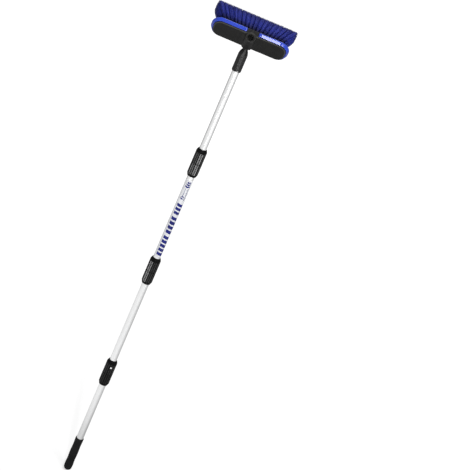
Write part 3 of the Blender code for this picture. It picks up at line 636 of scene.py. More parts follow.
def plug(look):
    neck, tip = 0.0083, 0.0092
    taper_low = PLUG_FOOT + 0.0500
    bore_top = PLUG_FOOT + PLUG_TUBE_DEPTH
    end = TIP_ROOT + 0.0188
    profile = [(0.0008, bore_top), (TUBE_BORE, bore_top)]
    profile += steps_from(TUBE_BORE, PLUG_FOOT, (0, 0.0003), (0.0003, 0))
    profile += steps_from(0, PLUG_FOOT, (0.0134, 0), (0.0138, 0.0004), (0.0138, 0.0019), (0.01372, 0.0022),
                          (0.0139, 0.0029), (0.0143, 0.0034))
    profile += [(PLUG_RADIUS, PLUG_FOOT + 0.0042, "flute")]
    profile += spaced(PLUG_RADIUS, PLUG_FOOT + 0.0062, taper_low - 0.001, 0.006, "flute")
    profile += steps_from(0, taper_low, (PLUG_RADIUS, 0.0), (0.01445, 0.0022), (0.01412, 0.0045),
                          (0.01345, 0.0070), (0.01255, 0.0098), (0.01145, 0.0125), (0.01015, 0.0150),
                          (0.0091, 0.0168), (0.0085, 0.0178), kind="flute")
    profile += [(neck, taper_low + 0.0184), (neck, TIP_ROOT - 0.0004)]
    profile += spaced(tip, TIP_ROOT, end - 0.0014, 0.0004, "tip")
    profile += steps_from(tip, end, (-0.0008, -0.0006), (-0.0016, 0)) + [(0.0012, end)]

    def shape(radius, z, turns, kind):
        if kind == "tip":
            return radius - 0.0017 * (1 - thread_wave(z, turns, TIP_ROOT + 0.0008, end - 0.0012, BROOM_PITCH))
        offset = column_offset(turns)
        flat = cos(radians(16.2)) / np.cos(np.minimum(offset, radians(16.2)))
        groove = 0.00045 * smoothstep(radians(17.2), radians(21.0), offset)
        fade = window(z, PLUG_FOOT + 0.0036, PLUG_FOOT + 0.0052, taper_low + 0.006, taper_low + 0.016)
        return radius * (1 - fade * (1 - flat)) - groove * fade

    piece = lathe("tip_plug_moulded", profile, PLUG_TURNS, look, shape, closed=False)
    cut_seat(piece, PLUG_FOOT + PLUG_SCREW_HEIGHT, 0.0, PLUG_RADIUS)
    notch = Matrix.Rotation(radians(-68), 4, "Z") @ Matrix.Translation((0.0140, 0, PLUG_FOOT + 0.0015))
    carve(piece, box(Matrix.Diagonal((0.0036, 0.006, 0.0060, 1)), notch @ Matrix.Rotation(pi / 2, 4, "Z")))
    smooth(piece.data, 40)
    return piece


# ---------------- label
# The print faces a little to the right of the pole's front; its shares of the width run from -1 to 1
PRINT_TURN = radians(-74)
PRINT_HALF = radians(49)
PRINT_RADIUS = TUBE_RADIUS + 0.00013
PRINT_THICK = 0.00007
# Tops and bottoms of the print's groups, and how many marks each has
PRINT_GROUPS = ((0.9925, 0.9525, 3), (0.9475, 0.8860, 4), (0.8810, 0.8095, 5))


def label_film(look):
    """Film wrapped round the third tube."""
    foot, radius = TUBE_RADIUS + 0.00002, TUBE_RADIUS + 0.00012
    low, high = 0.8035, 1.0700
    profile = [(foot, low), (radius, low + 0.0001)]
    profile += spaced(radius, low + 0.004, high - 0.004, 0.02)
    profile += [(radius, high - 0.0001), (foot, high)]
    return lathe("label_film", profile, even_turns(72), look, sharp=50)


def slanted_bar(low, high, left, right, slant):
    """Pairs of (turn, height) points along a bar between two shares of the printed width."""
    edges = []
    for step in range(13):
        share = left + (right - left) * step / 12
        turn = PRINT_TURN + PRINT_HALF * share
        edges.append(((turn, low + slant * share), (turn, high + slant * share)))
    return edges


def ring_stroke(centre_share, height, outer, inner, steps=28):
    edges = []
    for step in range(steps + 1):
        turn = 2 * pi * step / steps
        edges.append([(PRINT_TURN + PRINT_HALF * centre_share + radius * cos(turn) / TUBE_RADIUS,
                       height + radius * sin(turn)) for radius in (inner, outer)])
    return edges


def print_strokes(name, look, strokes):
    """Thin raised print, each stroke a strip between its pairs of points."""
    inner, outer = PRINT_RADIUS, PRINT_RADIUS + PRINT_THICK
    verts, faces = [], []
    for edges in strokes:
        start = len(verts)
        for left, right in edges:
            verts += [(r * cos(turn), r * sin(turn), height)
                      for r, (turn, height) in ((inner, left), (outer, left), (outer, right), (inner, right))]
        faces += [tuple(start + i for i in face) for face in ring_faces(len(edges), 4)]
    return add_piece(name, verts, faces, look, sharp=40)


def label_print(look):
    """Plain blue bars in three groups, with a ring and chevrons above."""
    strokes = []
    for top, bottom, marks in PRINT_GROUPS:
        pitch = (top - bottom) / marks
        for mark_number in range(marks):
            high = top - pitch * (mark_number + 0.16)
            strokes.append(slanted_bar(high - pitch * 0.68, high, -1.0, 1.0, -0.0020))
    for step in range(3):
        height = 1.0455 + 0.0070 * step
        strokes.append(slanted_bar(height, height + 0.0046, -0.10, 0.72 - 0.10 * step, 0.0040))
        strokes.append(slanted_bar(height - 0.0008, height + 0.0038, -0.88 + 0.16 * step, -0.10, -0.0040))
    strokes.append(ring_stroke(-0.34, 1.0115, 0.0055, 0.0018))
    return print_strokes("label_print", look, strokes)


def label_rules(look):
    """Two pale rules between the ring and the chevrons."""
    return print_strokes("label_rules", look, [slanted_bar(1.0170, 1.0430, -0.46, -0.30, 0.0),
                                               slanted_bar(1.0030, 1.0430, 0.40, 0.58, 0.0)])


# ---------------- block
def round_max(a, b, radius):
    """Intersection of two forms with an edge of a given radius."""
    u, v = a + radius, b + radius
    return np.minimum(np.maximum(u, v), 0) + np.hypot(np.maximum(u, 0), np.maximum(v, 0)) - radius


def soft_min(a, b, reach):
    """Union of two forms with a fillet between them."""
    h = np.clip(0.5 + 0.5 * (b - a) / reach, 0, 1)
    return b * (1 - h) + a * h - reach * h * (1 - h)


def stadium(x, s, length, width, corner):
    """Distance outside a rectangle with round corners."""
    qx = np.abs(x) - (length / 2 - corner)
    qs = np.abs(s) - (width / 2 - corner)
    return np.hypot(np.maximum(qx, 0), np.maximum(qs, 0)) + np.minimum(np.maximum(qx, qs), 0) - corner


def mouth_points(reach, height, angle, side, half_width, half_height):
    """The rim of one mouth of the boss and the keel below it."""
    upward = Vector((0, -side * sin(angle), cos(angle)))
    centre = Vector((0, side * reach, height))
    points = [centre + Vector((half_width * cos(2 * pi * i / 24), 0, 0))
              + upward * (half_height * sin(2 * pi * i / 24)) for i in range(24)]
    keel = ((0.0140, 0.0313, -0.0030), (-0.0140, 0.0313, -0.0030), (0, 0.0305, -0.0200))
    return points + [Vector((x, side * s, n)) for x, s, n in keel]


def boss_planes():
    """Planes of the hull of both mouths and their keels."""
    bm = bmesh.new()
    points = mouth_points(*SPARE_MOUTH, SPARE_ANGLE, 1, 0.0150, 0.0128)
    points += mouth_points(-HANDLE_MOUTH[0], HANDLE_MOUTH[1], HEAD_ANGLE, -1, 0.0132, 0.0118)
    for point in points:
        bm.verts.new(point)
    hull = bmesh.ops.convex_hull(bm, input=list(bm.verts), use_existing_faces=False)
    spare = [item for item in hull["geom_interior"] if isinstance(item, bmesh.types.BMVert)]
    bmesh.ops.delete(bm, geom=spare, context="VERTS")
    bmesh.ops.recalc_face_normals(bm, faces=bm.faces)
    centre = sum((v.co for v in bm.verts), Vector()) / len(bm.verts)
    planes = []
    for face in bm.faces:
        normal = face.normal.copy()
        if normal.length < 0.5:
            continue
        offset = normal.dot(face.verts[0].co)
        if normal.dot(centre) > offset:
            normal, offset = -normal, -offset
        if all(abs(normal.dot(p[0]) - 1) > 1e-4 or abs(offset - p[1]) > 2e-5 for p in planes):
            planes.append((normal, offset))
    bm.free()
    return planes


def block_field(planes):
    """The block as a field that is negative inside: x along it, s across it, n out of the cover."""
    soft = 0.00045
    reach = 0.0205

    def field(x, s, n):
        edge = stadium(x, s, *COVER)
        crown = 0.0006 * (1 - smoothstep(-0.020, -0.002, edge))
        cover = round_max(edge, n - crown, 0.0028)
        cover = round_max(cover, -(n + 0.0045), 0.0005)
        body = round_max(stadium(x, s, *BODY), -(n + BLOCK_DEPTH), 0.0007)
        block = np.minimum(cover, np.maximum(body, n + 0.0020))
        # Fillets that run the boss into the cover, wider at the spare socket's end
        share = np.clip((0.0285 - s) / 0.057, 0, 1)
        half = 0.0140 + (0.0132 - 0.0140) * share
        rise_at = 0.0115 + (0.0070 - 0.0115) * share
        u = np.clip((half + reach - np.abs(x)) / reach, 0, 0.995)
        swell = rise_at * (1 - np.sqrt(1 - u * u)) * smoothstep(0.0, 0.0100, -edge)
        slope = rise_at / reach * u / np.sqrt(1 - u * u)
        flare = (n - swell - crown) / np.sqrt(1 + slope * slope)
        flare = round_max(flare, edge + 0.0004, 0.0028)
        flare = np.maximum(np.maximum(flare, -n - 0.003), np.abs(x) - 0.0360)
        block = soft_min(block, flare, 0.0012)
        # Boss, with its edges eased
        far = np.full(x.shape, -1e9)
        for normal, offset in planes:
            far = np.maximum(far, normal[0] * x + normal[1] * s + normal[2] * n - offset)
        total = sum(np.exp((normal[0] * x + normal[1] * s + normal[2] * n - offset - far) / soft)
                    for normal, offset in planes)
        boss = far + soft * np.log(total) - 0.00035
        return soft_min(block, boss, 0.0030)

    return field


def surface_net(xs, ys, zs, field):
    """Skin of field < 0 on a grid with lines at xs, ys and zs."""
    grid = np.meshgrid(xs, ys, zs, indexing="ij")
    value = field(*grid)
    inside = value < 0
    shape = tuple(n - 1 for n in value.shape)
    corners = [(i, j, k) for i in (0, 1) for j in (0, 1) for k in (0, 1)]

    def at(array, corner):
        return array[tuple(slice(c, c + n) for c, n in zip(corner, shape))]

    count = sum(at(inside, corner).astype(np.int8) for corner in corners)
    mixed = (count > 0) & (count < 8)
    cells = int(mixed.sum())
    index = np.full(shape, -1, dtype=np.int64)
    index[mixed] = np.arange(cells)
    # Each cell's point is the mean of where the skin crosses its edges
    total = np.zeros((cells, 3))
    hits = np.zeros(cells)
    for a in corners:
        for axis in range(3):
            if a[axis]:
                continue
            b = tuple(c + (1 if i == axis else 0) for i, c in enumerate(a))
            va, vb = at(value, a)[mixed], at(value, b)[mixed]
            cross = (va < 0) != (vb < 0)
            t = np.where(cross, va / np.where(cross, va - vb, 1), 0)
            for i in range(3):
                pa, pb = at(grid[i], a)[mixed], at(grid[i], b)[mixed]
                total[:, i] += np.where(cross, pa + (pb - pa) * t, 0)
            hits += cross
    # Each grid edge that crosses the skin gives a quad between the four cells round it
    quads = []
    for axis in range(3):
        u, v = [(1, 2), (2, 0), (0, 1)][axis]
        low, high = [slice(None)] * 3, [slice(None)] * 3
        low[axis], high[axis] = slice(0, -1), slice(1, None)
        first, second = inside[tuple(low)], inside[tuple(high)]
        where = np.argwhere(first != second)
        a, b = where[:, u], where[:, v]
        where = where[(a > 0) & (b > 0) & (a < shape[u]) & (b < shape[v])]
        flip = first[tuple(where.T)]
        around = []
        for du, dv in ((-1, -1), (0, -1), (0, 0), (-1, 0)):
            cell = where.copy()
            cell[:, u] += du
            cell[:, v] += dv
            around.append(index[tuple(cell.T)])
        quad = np.stack(around, axis=1)
        quads.append(np.where(flip[:, None], quad, quad[:, ::-1]))
    return total / hits[:, None], np.concatenate(quads)


def settle_on(points, field, step=2e-5, rounds=4, most=0.0005):
    """Slide the points onto the surface where field is 0."""
    for _ in range(rounds):
        value = field(*points.T)
        rises = [field(*(points + way).T) - field(*(points - way).T) for way in np.eye(3) * step]
        slope = np.stack(rises, axis=1) / (2 * step)
        size = np.maximum((slope ** 2).sum(axis=1), 0.05)
        move = -slope * (value / size)[:, None]
        length = np.linalg.norm(move, axis=1)
        points = points + move * np.minimum(1, most / np.maximum(length, 1e-9))[:, None]
    return points


def graded(start, *stops):
    """Grid lines from a start through (end, step) stops."""
    lines = [start]
    for end, step in stops:
        start = lines[-1]
        count = max(1, int(round((end - start) / step)))
        lines += [start + (end - start) * (i + 1) / count for i in range(count)]
    return np.array(lines)


def bore_cutter(centre, normal, crest):
    """Threaded bore with a chamfered mouth, drawn along +Z out of it; crest is its thread's height."""
    low = -BORE_DEPTH
    profile = [(0.0008, low), (BORE_RADIUS - 0.0006, low), (BORE_RADIUS, low + 0.0006, "bore")]
    profile += spaced(BORE_RADIUS, low + 0.001, -0.0012, 0.0005, "bore")
    profile += steps_from(BORE_RADIUS, 0, (0.0002, -0.0007), (0.0009, 0.0001), (0.0009, 0.0060))
    profile += [(0.0008, 0.0060)]

    def shape(radius, z, turns, kind):
        wave = thread_wave(z, turns, low + 0.0005, -0.0004, BROOM_PITCH)
        return radius + 0.0008 - (0.0008 + crest) * (1 - wave)

    cutter = lathe("bore", profile, even_turns(56), shape=shape, closed=False)
    turn = Vector((0, 0, 1)).rotation_difference(normal).to_matrix().to_4x4()
    cutter.matrix_world = Matrix.Translation(centre) @ turn
    return cutter


def block(look):
    field = block_field(boss_planes())
    along = graded(-0.1100, (-0.0820, 0.0009), (-0.0380, 0.0018), (0.0380, 0.0008), (0.0820, 0.0018),
                   (0.1100, 0.0009))
    across = graded(-0.0420, (0.0430, 0.0009))
    up = graded(-0.0222, (-0.0060, 0.0010), (0.0010, 0.0006), (0.0270, 0.0009))
    points, faces = surface_net(along, across, up, field)
    points = settle_on(points, field)
    piece = add_piece("block_moulding", points.tolist(), faces.tolist(), look, recalc=False)
    for mouth, angle, side, crest in ((SPARE_MOUTH, SPARE_ANGLE, 1, 0.0010),
                                      (HANDLE_MOUTH, HEAD_ANGLE, -1, 0.0)):
        carve(piece, bore_cutter(Vector((0, *mouth)), Vector((0, side * cos(angle), sin(angle))), crest))
    x, s, n = point_places(piece)
    # The cover's rim is painted paler: a painted highlight where the edge catches the light, with some
    # scuffing.
    rim = smoothstep(-0.0042, -0.0018, stadium(x, s, *COVER))
    mark(piece, "wear_and_highlight", rim * window(n, -0.0020, -0.0010, 0.0006, 0.0016))
    piece.data.transform(HEAD)
    smooth(piece.data, 38)
    return piece


# ---------------- bumpers
# Length, width and corner of the outlines of a bumper's inside, of its groove at the cover and of its nose
BUMPER_INNER = (0.2110, 0.0566, 0.0210)
BUMPER_RIM = (0.2176, 0.0632, 0.0243)
BUMPER_OUTER = (0.2334, 0.0726, 0.0310)
# How far from the gap a bumper's end is shaped, and how far it is rounded
END_REACH = 0.0095
END_ROUND = 0.0028
# Across the bumper: shares of the way from the cover's edge to the nose, and heights
BUMPER_SECTION = (
    (0.00, -0.0047), (0.15, -0.0047), (0.19, -0.0037), (0.22, -0.0030), (0.26, -0.0027), (0.31, -0.0029),
    (0.36, -0.0034), (0.48, -0.0048), (0.61, -0.0063), (0.74, -0.0078), (0.86, -0.0092), (0.95, -0.0104),
    (1.0, -0.0114), (0.985, -0.0125), (0.94, -0.0133), (0.86, -0.0139), (0.74, -0.0143), (0.60, -0.0145),
    (0.30, -0.0148))


def outline_point(outline, gap, part, t):
    """Point t of the way along a part of one end's outline: run, corner, end, corner, run."""
    length, width, corner = outline
    centre_x, centre_s = length / 2 - corner, width / 2 - corner
    if part == 0:
        return gap + (centre_x - gap) * t, width / 2
    if part == 1:
        turn = pi / 2 * (1 - t)
        return centre_x + corner * cos(turn), centre_s + corner * sin(turn)
    if part == 2:
        return length / 2, centre_s * (1 - 2 * t)
    x, s = outline_point(outline, gap, 4 - part, 1 - t)
    return x, -s


def bumper_stations(run):
    """Close-set at the gap, where the end is rounded."""
    starts = [d / run for d in (0, 0.0007, 0.0014, 0.0021, 0.0028, 0.0036, 0.0044, 0.0054, 0.0066, 0.0080)]
    starts += [END_REACH / run + (1 - END_REACH / run) * i / 24 for i in range(25)]
    stations = [(0, t) for t in starts]
    for part, count in ((1, 24), (2, 4), (3, 24)):
        stations += [(part, (i + 1) / count) for i in range(count)]
    return stations + [(4, 1 - t) for t in reversed(starts[:-1])]


def bumper(name, side, gap, look):
    rings = []
    for part, t in bumper_stations(BUMPER_OUTER[0] / 2 - BUMPER_OUTER[2] - gap):
        inner, rim, outer = (np.array(outline_point(outline, gap, part, t))
                             for outline in (BUMPER_INNER, BUMPER_RIM, BUMPER_OUTER))
        ring = [(*inner, -0.0150), (*inner, -0.0048), (*rim, -0.0048)]
        ring += [(*(rim + (outer - rim) * share), height) for share, height in BUMPER_SECTION]
        ring = np.array(ring)
        way = outer[0] - gap
        if part in (0, 4) and way < END_REACH:
            # A rounded end with a bead round it
            bead = exp(-((way - 0.0042) / 0.0016) ** 2) * 0.00045
            close = 1 - sqrt(max(0.0, 1 - (1 - min(way, END_ROUND) / END_ROUND) ** 2))
            middle = np.array((outer[0], (inner[1] + outer[1]) / 2, -0.0088))
            offset = ring - middle
            reach = np.linalg.norm(offset[:, 1:], axis=1, keepdims=True)
            free = (np.arange(len(ring)) >= 4)[:, None]
            ring = middle + offset * (1 - close * 0.0018 / np.maximum(reach, 0.0018))
            ring = ring + np.where(free, offset / np.maximum(reach, 1e-6) * bead, 0)
        rings.append(ring * (side, 1, 1))
    piece = add_piece(name, np.concatenate(rings), ring_faces(len(rings), len(rings[0])), look)
    piece.data.transform(HEAD)
    smooth(piece.data, 30)
    return piece


# ---------------- bristles
TIP_WIDTH_SHARE = 0.0634 / (ROW_PITCH * len(TUFTS_PER_ROW))
ROW_REACH = (0.1222, 0.1236, 0.1240, 0.1236, 0.1222)
BRISTLE_ROOT = -BLOCK_DEPTH + 0.0004
BRISTLE_TIP = -0.0742
TUFT_ROOT = 0.0034
TIP_HALF = (0.1224, 0.0314)
TIP_CORNER = 0.0130
GOLDEN_TURN = 2.399963
# The shell, the inside and the strays of a tuft: how many filaments, their least and greatest shares of
# the tuft's radius, where they start and the stations along them
STRAND_KINDS = ((50, 0.94, 1.03, 0.0, (0.0, 0.10, 0.26, 0.48, 0.74, 1.0)),
                (64, 0.05, 0.95, 0.72, (0.0, 0.5, 1.0)),
                (4, 1.00, 1.14, 0.0, (0.0, 0.16, 0.38, 0.66, 1.0)))


def footprint(t, turn, half):
    """Points round a tuft t of the way along it: round at the root, nearly square at the tip."""
    t = np.asarray(t, dtype=float)
    power = 2.0 + 6.0 * t ** 1.5
    reach = (np.abs(np.cos(turn)) ** power + np.abs(np.sin(turn)) ** power) ** (-1 / power)
    wide = (TUFT_ROOT + (half[0] - TUFT_ROOT) * t) * reach * np.cos(turn)
    deep = (TUFT_ROOT + (half[1] - TUFT_ROOT) * t) * reach * np.sin(turn)
    return np.stack([wide, deep], axis=-1)


def strands(base, tip, half, start, shares, turns, lengths, radii, bows, steps, sides=3):
    """Tapered filaments of one tuft, each from the start to its own length along the tuft."""
    count, rows = len(turns), len(steps)
    t = np.tile(start + (1 - start) * np.asarray(steps), (count, 1))
    across = footprint(t, turns[:, None], half) * shares[:, None, None]
    middle = base + (tip - base) * t[..., None]
    middle = middle + across + bows[:, None, :] * np.sin(pi * t)[..., None]
    middle = middle + bows[:, None, ::-1] * (t ** 4)[..., None]
    height = BRISTLE_ROOT + (lengths[:, None] - BRISTLE_ROOT) * t
    radius = (radii[:, None] * (1 - 0.30 * t))[..., None]
    around = (turns[:, None] + even_turns(sides))[:, None, :]
    points = np.stack([middle[..., :1] + radius * np.cos(around), middle[..., 1:] + radius * np.sin(around),
                       np.repeat(height[..., None], sides, axis=2)], axis=-1).reshape(-1, 3)
    side = np.arange(sides)
    first = np.arange(count * rows).reshape(count, rows, 1) * sides
    a, b = first[:, :-1] + side, first[:, :-1] + (side + 1) % sides
    quads = np.stack([a, b, b + sides, a + sides], axis=-1).reshape(-1, 4)
    ends = first[:, -1] + side
    return points, np.repeat(t.reshape(-1), sides), quads.tolist() + ends.tolist()


def core(base, tip, half, length, rng, sides=44):
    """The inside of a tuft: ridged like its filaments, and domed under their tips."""
    steps = np.array([0.0, 0.07, 0.16, 0.28, 0.42, 0.56, 0.70, 0.81, 0.90, 0.950, 0.968, 0.973])
    swell = np.array([1, 1, 1, 1, 1, 1, 1, 1, 0.985, 0.93, 0.78, 0.40]) * 0.95
    turns = even_turns(sides)
    ridge = 1 + rng.uniform(-0.075, 0.045, sides)
    t = steps[:, None]
    across = footprint(t, turns[None, :], half) * (swell[:, None] * ridge[None, :])[..., None]
    middle = base + (tip - base) * t[..., None] + across
    height = np.repeat(BRISTLE_ROOT + (length - BRISTLE_ROOT) * t, sides, axis=1)
    points = np.concatenate([middle, height[..., None]], axis=-1).reshape(-1, 3)
    faces = ring_faces(len(steps), sides)
    del faces[-2]  # the end inside the block stays open
    # Painted shade: the inside is darker than its filaments, darker in its grooves, and darker on the sides
    # that face the next tufts.
    tone_and_painted_light = np.tile(0.34 + (ridge - 1) * 3.0 - 0.30 * np.abs(np.cos(turns)) ** 3, len(steps))
    return points, np.repeat(steps, sides), faces, tone_and_painted_light


def trimmed(points, half, corner):
    """Points drawn in to the rounded outline of the tips."""
    inner = np.array(half) - corner
    spot = np.minimum(np.abs(points), half)
    past = spot - inner
    reach = np.hypot(*np.maximum(past, 0).T)
    share = np.minimum(1, corner / np.maximum(reach, corner))[:, None]
    return np.sign(points) * np.where((past > 0).all(axis=1)[:, None], inner + past * share, spot)


def bristle_row(name, row, look, seed):
    rng = np.random.default_rng(seed)
    tufts = TUFTS_PER_ROW[row]
    spread = ROW_REACH[row] * 2 / (tufts * TUFT_PITCH)
    half = (TUFT_PITCH * spread / 2, ROW_PITCH * TIP_WIDTH_SHARE / 2)
    centre = (row + 0.5 - len(TUFTS_PER_ROW) / 2) * ROW_PITCH
    verts, alongs, tones_and_painted_light, faces = [], [], [], []

    def put(points, along, made, tone_and_painted_light):
        total = sum(len(part) for part in verts)
        verts.append(points)
        alongs.append(along)
        tones_and_painted_light.append(tone_and_painted_light)
        faces.extend([tuple(i + total for i in face) for face in made])

    for tuft in range(tufts):
        base = np.array((-tufts * TUFT_PITCH / 2 + (tuft + 0.5) * TUFT_PITCH, centre))
        tip = base * (spread, TIP_WIDTH_SHARE) + rng.normal(0, 0.0002, 2)
        length = BRISTLE_TIP + abs(rng.normal(0, 0.00015))
        # The tufts at the right end are painted paler: painted light, as if the lamps lit that end more
        shade = rng.uniform(0.40, 0.60) + 0.34 * float(smoothstep(0.068, 0.094, base[0]))
        points, along, made, tone_and_painted_light = core(base, tip, half, length, rng)
        put(points, along, made, np.clip(tone_and_painted_light + shade - 0.5, 0, 1))
        for count, low, high, start, steps in STRAND_KINDS:
            share = np.sqrt(rng.uniform(low * low, high * high, count))
            turn_step = GOLDEN_TURN if start else 2 * pi / count
            turns = np.arange(count) * turn_step + rng.uniform(0, 6.28) + rng.normal(0, 0.03, count)
            lengths = length + rng.exponential(0.0003, count)
            radii = rng.uniform(0.00021, 0.00027, count)
            bows = rng.normal(0, 0.00022, (count, 2))
            points, along, made = strands(base, tip, half, start, share, turns, lengths, radii, bows, steps)
            # Each filament's shade of blue varies at random; outer filaments on the sides facing the next
            # tufts are darkened, a painted shade between the tufts.
            tone_and_painted_light = shade + rng.normal(0.06, 0.20, count) - 0.26 * share * np.abs(np.cos(turns)) ** 3
            put(points, along, made, np.repeat(np.clip(tone_and_painted_light, 0, 1), len(steps) * 3))
    points = np.concatenate(verts)
    points[:, :2] = trimmed(points[:, :2], TIP_HALF, TIP_CORNER)
    points[:, 2] = np.maximum(points[:, 2], BRISTLE_TIP)
    piece = add_piece(name, points.tolist(), faces, look, recalc=False)
    mark(piece, "tone_and_painted_light", np.concatenate(tones_and_painted_light))
    mark(piece, "along", np.concatenate(alongs))
    piece.data.transform(HEAD)
    return piece


# ---------------- stage and light
# Which way the front of the pole faces, for the flags in the floor, and the flags' levels by the turn in
# degrees from it: far ones show at the sides of the tubes, near ones at the sides of what stands low
FRONT = radians(-91.9)
FAR_FLAGS = ((-175, 0.92), (-150, 0.52), (-125, 0.42), (-102, 0.52), (-84, 0.86), (-40, 1.0), (0, 1.08),
             (84, 1.05), (102, 0.58), (125, 0.44), (150, 0.52), (175, 0.92))
NEAR_FLAGS = ((-175, 0.86), (-150, 0.70), (-118, 1.00), (-90, 1.10), (0, 1.16), (28, 1.10), (56, 0.90),
              (88, 0.66), (125, 0.50), (150, 0.54), (175, 0.86))
STREAK = ((14, 0.0), (34, 1.0), (54, 0.0))


def add_floor():
    """A plain pale floor. Reflections see it with darker flags at both sides, as in a product studio."""
    mesh = bpy.data.meshes.new("floor")
    mesh.from_pydata([(-30, -30, 0), (30, -30, 0), (30, 30, 0), (-30, 30, 0)], [], [(0, 1, 2, 3)])
    floor = add_object("floor", mesh)
    floor.location.z = -0.0006
    made = bpy.data.materials.new("stage_floor")
    g = Graph(made)
    path = g.node("LightPath").outputs
    x, y, _ = g.node("SeparateXYZ", {0: g.coordinates()}).outputs
    away = g.math("SQRT", g.plus(g.times(x, x), g.times(y, y)))
    ahead = g.plus(g.times(x, cos(FRONT)), g.times(y, sin(FRONT)))
    right = g.plus(g.times(x, -sin(FRONT)), g.times(y, cos(FRONT)))
    turn = g.plus(g.math("DIVIDE", g.math("ARCTAN2", right, ahead), 2 * pi), 0.5)

    def past(low, high):
        """0 nearer the pole than low to 1 beyond high."""
        return g.math("DIVIDE", g.math("SUBTRACT", away, low), high - low, clamp=True)

    def round_ramp(stops):
        return g.ramp(turn, *[(0.5 + degrees / 360, value) for degrees, value in stops])

    flags = g.mix(past(1.6, 2.6), round_ramp(NEAR_FLAGS), round_ramp(FAR_FLAGS))
    streak = g.times(round_ramp(STREAK), past(4.8, 5.2))
    level = g.times(flags, g.plus(g.times(streak, 3.0), 1.0))
    level = g.times(level, g.plus(g.times(past(0.1, 0.5), 0.5), 0.5))
    mirrored = g.node("Emission", {"Strength": level})
    paint = g.node("BsdfDiffuse", {"Color": (0.82, 0.82, 0.82)})
    seen = g.math("ADD", path["Is Camera Ray"], path["Is Transmission Ray"], clamp=True)
    glow = g.node("Emission", {"Strength": g.times(seen, g.plus(g.times(past(0.3, 3.5), 0.32), 0.47))})
    plain = g.node("AddShader", {0: paint.outputs[0], 1: glow.outputs[0]})
    choose = g.node("MixShader", {0: path["Is Glossy Ray"], 1: plain.outputs[0], 2: mirrored.outputs[0]})
    g.node("OutputMaterial", {"Surface": choose.outputs[0]})
    mesh.materials.append(made)


def add_world(fill, mirrored):
    """Even light, white to the camera and through glass, and paler than the light in reflections."""
    world = bpy.data.worlds.new("studio")
    bpy.context.scene.world = world
    g = Graph(world)
    path = g.node("LightPath").outputs
    seen = g.math("ADD", path["Is Camera Ray"], path["Is Transmission Ray"], clamp=True)
    level = g.math("MAXIMUM", g.plus(g.times(path["Is Glossy Ray"], mirrored - fill), fill), seen)
    light = g.node("Background", {"Color": (1, 1, 1), "Strength": level})
    g.node("OutputWorld", {"Surface": light.outputs[0]})


def add_area(name, place, target, size, power):
    light = bpy.data.lights.new(name, "AREA")
    light.shape = "RECTANGLE"
    light.size, light.size_y = size
    light.energy = power
    lamp = add_object(name, light)
    lamp.location = place
    lamp.rotation_euler = (Vector(target) - Vector(place)).to_track_quat("-Z", "Y").to_euler()
    lamp.visible_camera = False


# ---------------- build
add_camera()
add_world(0.37, 0.60)
add_floor()

FOAM = foam_material()
BLACK = ((0.0040, 0.0040, 0.0042), (0.0070, 0.0070, 0.0073))
# The collars' rails and rungs are painted pale grey: a painted highlight where they catch the light, with
# some scuffing.
COLLAR = plastic_material("look_collar", *BLACK, (0.36, 0.48), 900, 0.00008, 0.05, worn_and_lit=(0.45, 0.45, 0.453))
PLUG = plastic_material("look_plug", *BLACK, (0.18, 0.27), 900, 0.00005, 0.30)
# The block's rim and sharp edges are painted paler: a painted highlight where they catch the light, with some
# scuffing.
BLOCK = plastic_material("look_block", (0.0105, 0.0104, 0.0100), (0.0160, 0.0158, 0.0152), (0.50, 0.66), 1300,
                         0.00012, 0.16, worn_and_lit=(0.075, 0.074, 0.068), edge=(0.050, 0.050, 0.048))
TUBE = tube_material()
STEEL = steel_material()
RUBBER = rubber_material()
FILM = plastic_material("look_label_film", (0.91, 0.925, 0.965), (0.94, 0.95, 0.985), (0.26, 0.36), 600,
                        0.00003, 0.50)
PRINT_SHEEN = ((0.30, 0.42), 900, 0.00003, 0.3)
INK = plastic_material("look_label_ink", srgb(17, 26, 112), srgb(26, 38, 134), *PRINT_SHEEN)
PALE_INK = plastic_material("look_label_pale_ink", srgb(92, 96, 134), srgb(110, 114, 150), *PRINT_SHEEN)
# The root colour is painted shade between the tufts.
FIBRE = bristle_material("look_bristle", srgb(6, 9, 62), srgb(24, 31, 118), srgb(40, 52, 157))
SCREW = screw_mesh()


def add_tube(node, body, low, high):
    settle(tube(node + "_drawn", low, high - MALE_LENGTH + COLLAR_TUBE_DEPTH - GAP, TUBE), body, [node])


def add_male_collar(number, body, joint, scuffs_and_light):
    node = "male_collar_%d" % number
    settle(male_collar(node + "_moulded", joint, COLLAR, scuffs_and_light), body, [node])


def add_female_collar(number, body, joint, turn, scuffs_and_light):
    node = "socket_collar_%d" % number
    settle(female_collar(node + "_moulded", joint, turn, COLLAR, scuffs_and_light), body, [node])


def fasten(node, body, *place):
    settle(add_screw(node + "_plated", *place), body, [node])


settle(grip(FOAM), "grip_section", ["grip_sleeve"])
add_tube("grip_tube", "grip_section", 0.0208, JOINT_1)
add_male_collar(1, "grip_section", JOINT_1, (0.10, 0.06, 0.08))
fasten("male_screw_1", "grip_section", JOINT_1 - MALE_LENGTH + MALE_SCREW_HEIGHT)
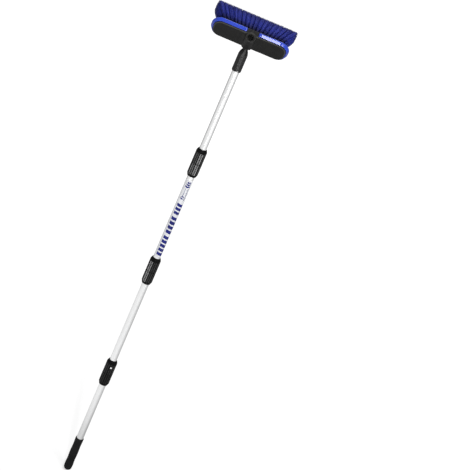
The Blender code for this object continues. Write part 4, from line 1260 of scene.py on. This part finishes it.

# Each section's tube, its joints, how far its socket collar is turned, and the scuffing and painted light on
# both its collars
for number, tube_name, low, high, turn, foot_scuffs_and_light, top_scuffs_and_light in (
        (2, "lower_tube", JOINT_1, JOINT_2, radians(195), (0.12, 0.10, 0.14), (1.00, 0.14, 0.16)),
        (3, "label_tube", JOINT_2, JOINT_3, 0.0, (1.00, 0.14, 0.16), (0.62, 1.00, 0.24))):
    body = "section_%d" % number
    add_female_collar(number, body, low, turn, foot_scuffs_and_light)
    add_male_collar(number, body, high, top_scuffs_and_light)
    add_tube(tube_name, body, low + FEMALE_LENGTH - COLLAR_TUBE_DEPTH + GAP, high)
    fasten("socket_screw_%d" % number, body, low + FEMALE_LENGTH - FEMALE_SCREW_DROP, turn)
    fasten("male_screw_%d" % number, body, high - MALE_LENGTH + MALE_SCREW_HEIGHT)
for piece in (label_film(FILM), label_print(INK), label_rules(PALE_INK)):
    settle(piece, "section_3", [])

add_female_collar(4, "section_4", JOINT_3, 0.0, (0.28, 1.00, 0.20))
settle(tube("upper_tube_drawn", JOINT_3 + FEMALE_LENGTH - COLLAR_TUBE_DEPTH + GAP,
            PLUG_FOOT + PLUG_TUBE_DEPTH - GAP, TUBE), "section_4", ["upper_tube"])
fasten("socket_screw_4", "section_4", JOINT_3 + FEMALE_LENGTH - FEMALE_SCREW_DROP)
settle(plug(PLUG), "section_4", ["tip_plug"])
fasten("tip_screw", "section_4", PLUG_FOOT + PLUG_SCREW_HEIGHT, 0.0, PLUG_RADIUS)

settle(block(BLOCK), "head", ["brush_block"])
settle(bumper("bumper_left_moulded", -1, 0.0165, RUBBER), "head", ["bumper_left"])
settle(bumper("bumper_right_moulded", 1, 0.0195, RUBBER), "head", ["bumper_right"])
for row in range(len(TUFTS_PER_ROW)):
    settle(bristle_row("bristle_row_%d_filaments" % (row + 1), row, FIBRE, 40 + row), "head",
           ["bristle_row_%d" % (row + 1)])

add_area("key", (1.6, -2.6, 3.6), (0, 0, 1.3), (1.6, 1.6), 38)
add_area("fill", (-2.6, -2.2, 1.8), (0, 0, 1.0), (1.8, 2.4), 4)
add_area("top", (0.0, 0.6, 3.6), (0, 0, 1.2), (1.6, 1.6), 15)
add_area("strip", (0.265, -3.0, 4.1), (0.265, 0, 4.1), (0.20, 7.2), 57)

scene = bpy.context.scene
scene.view_settings.view_transform = "Standard"
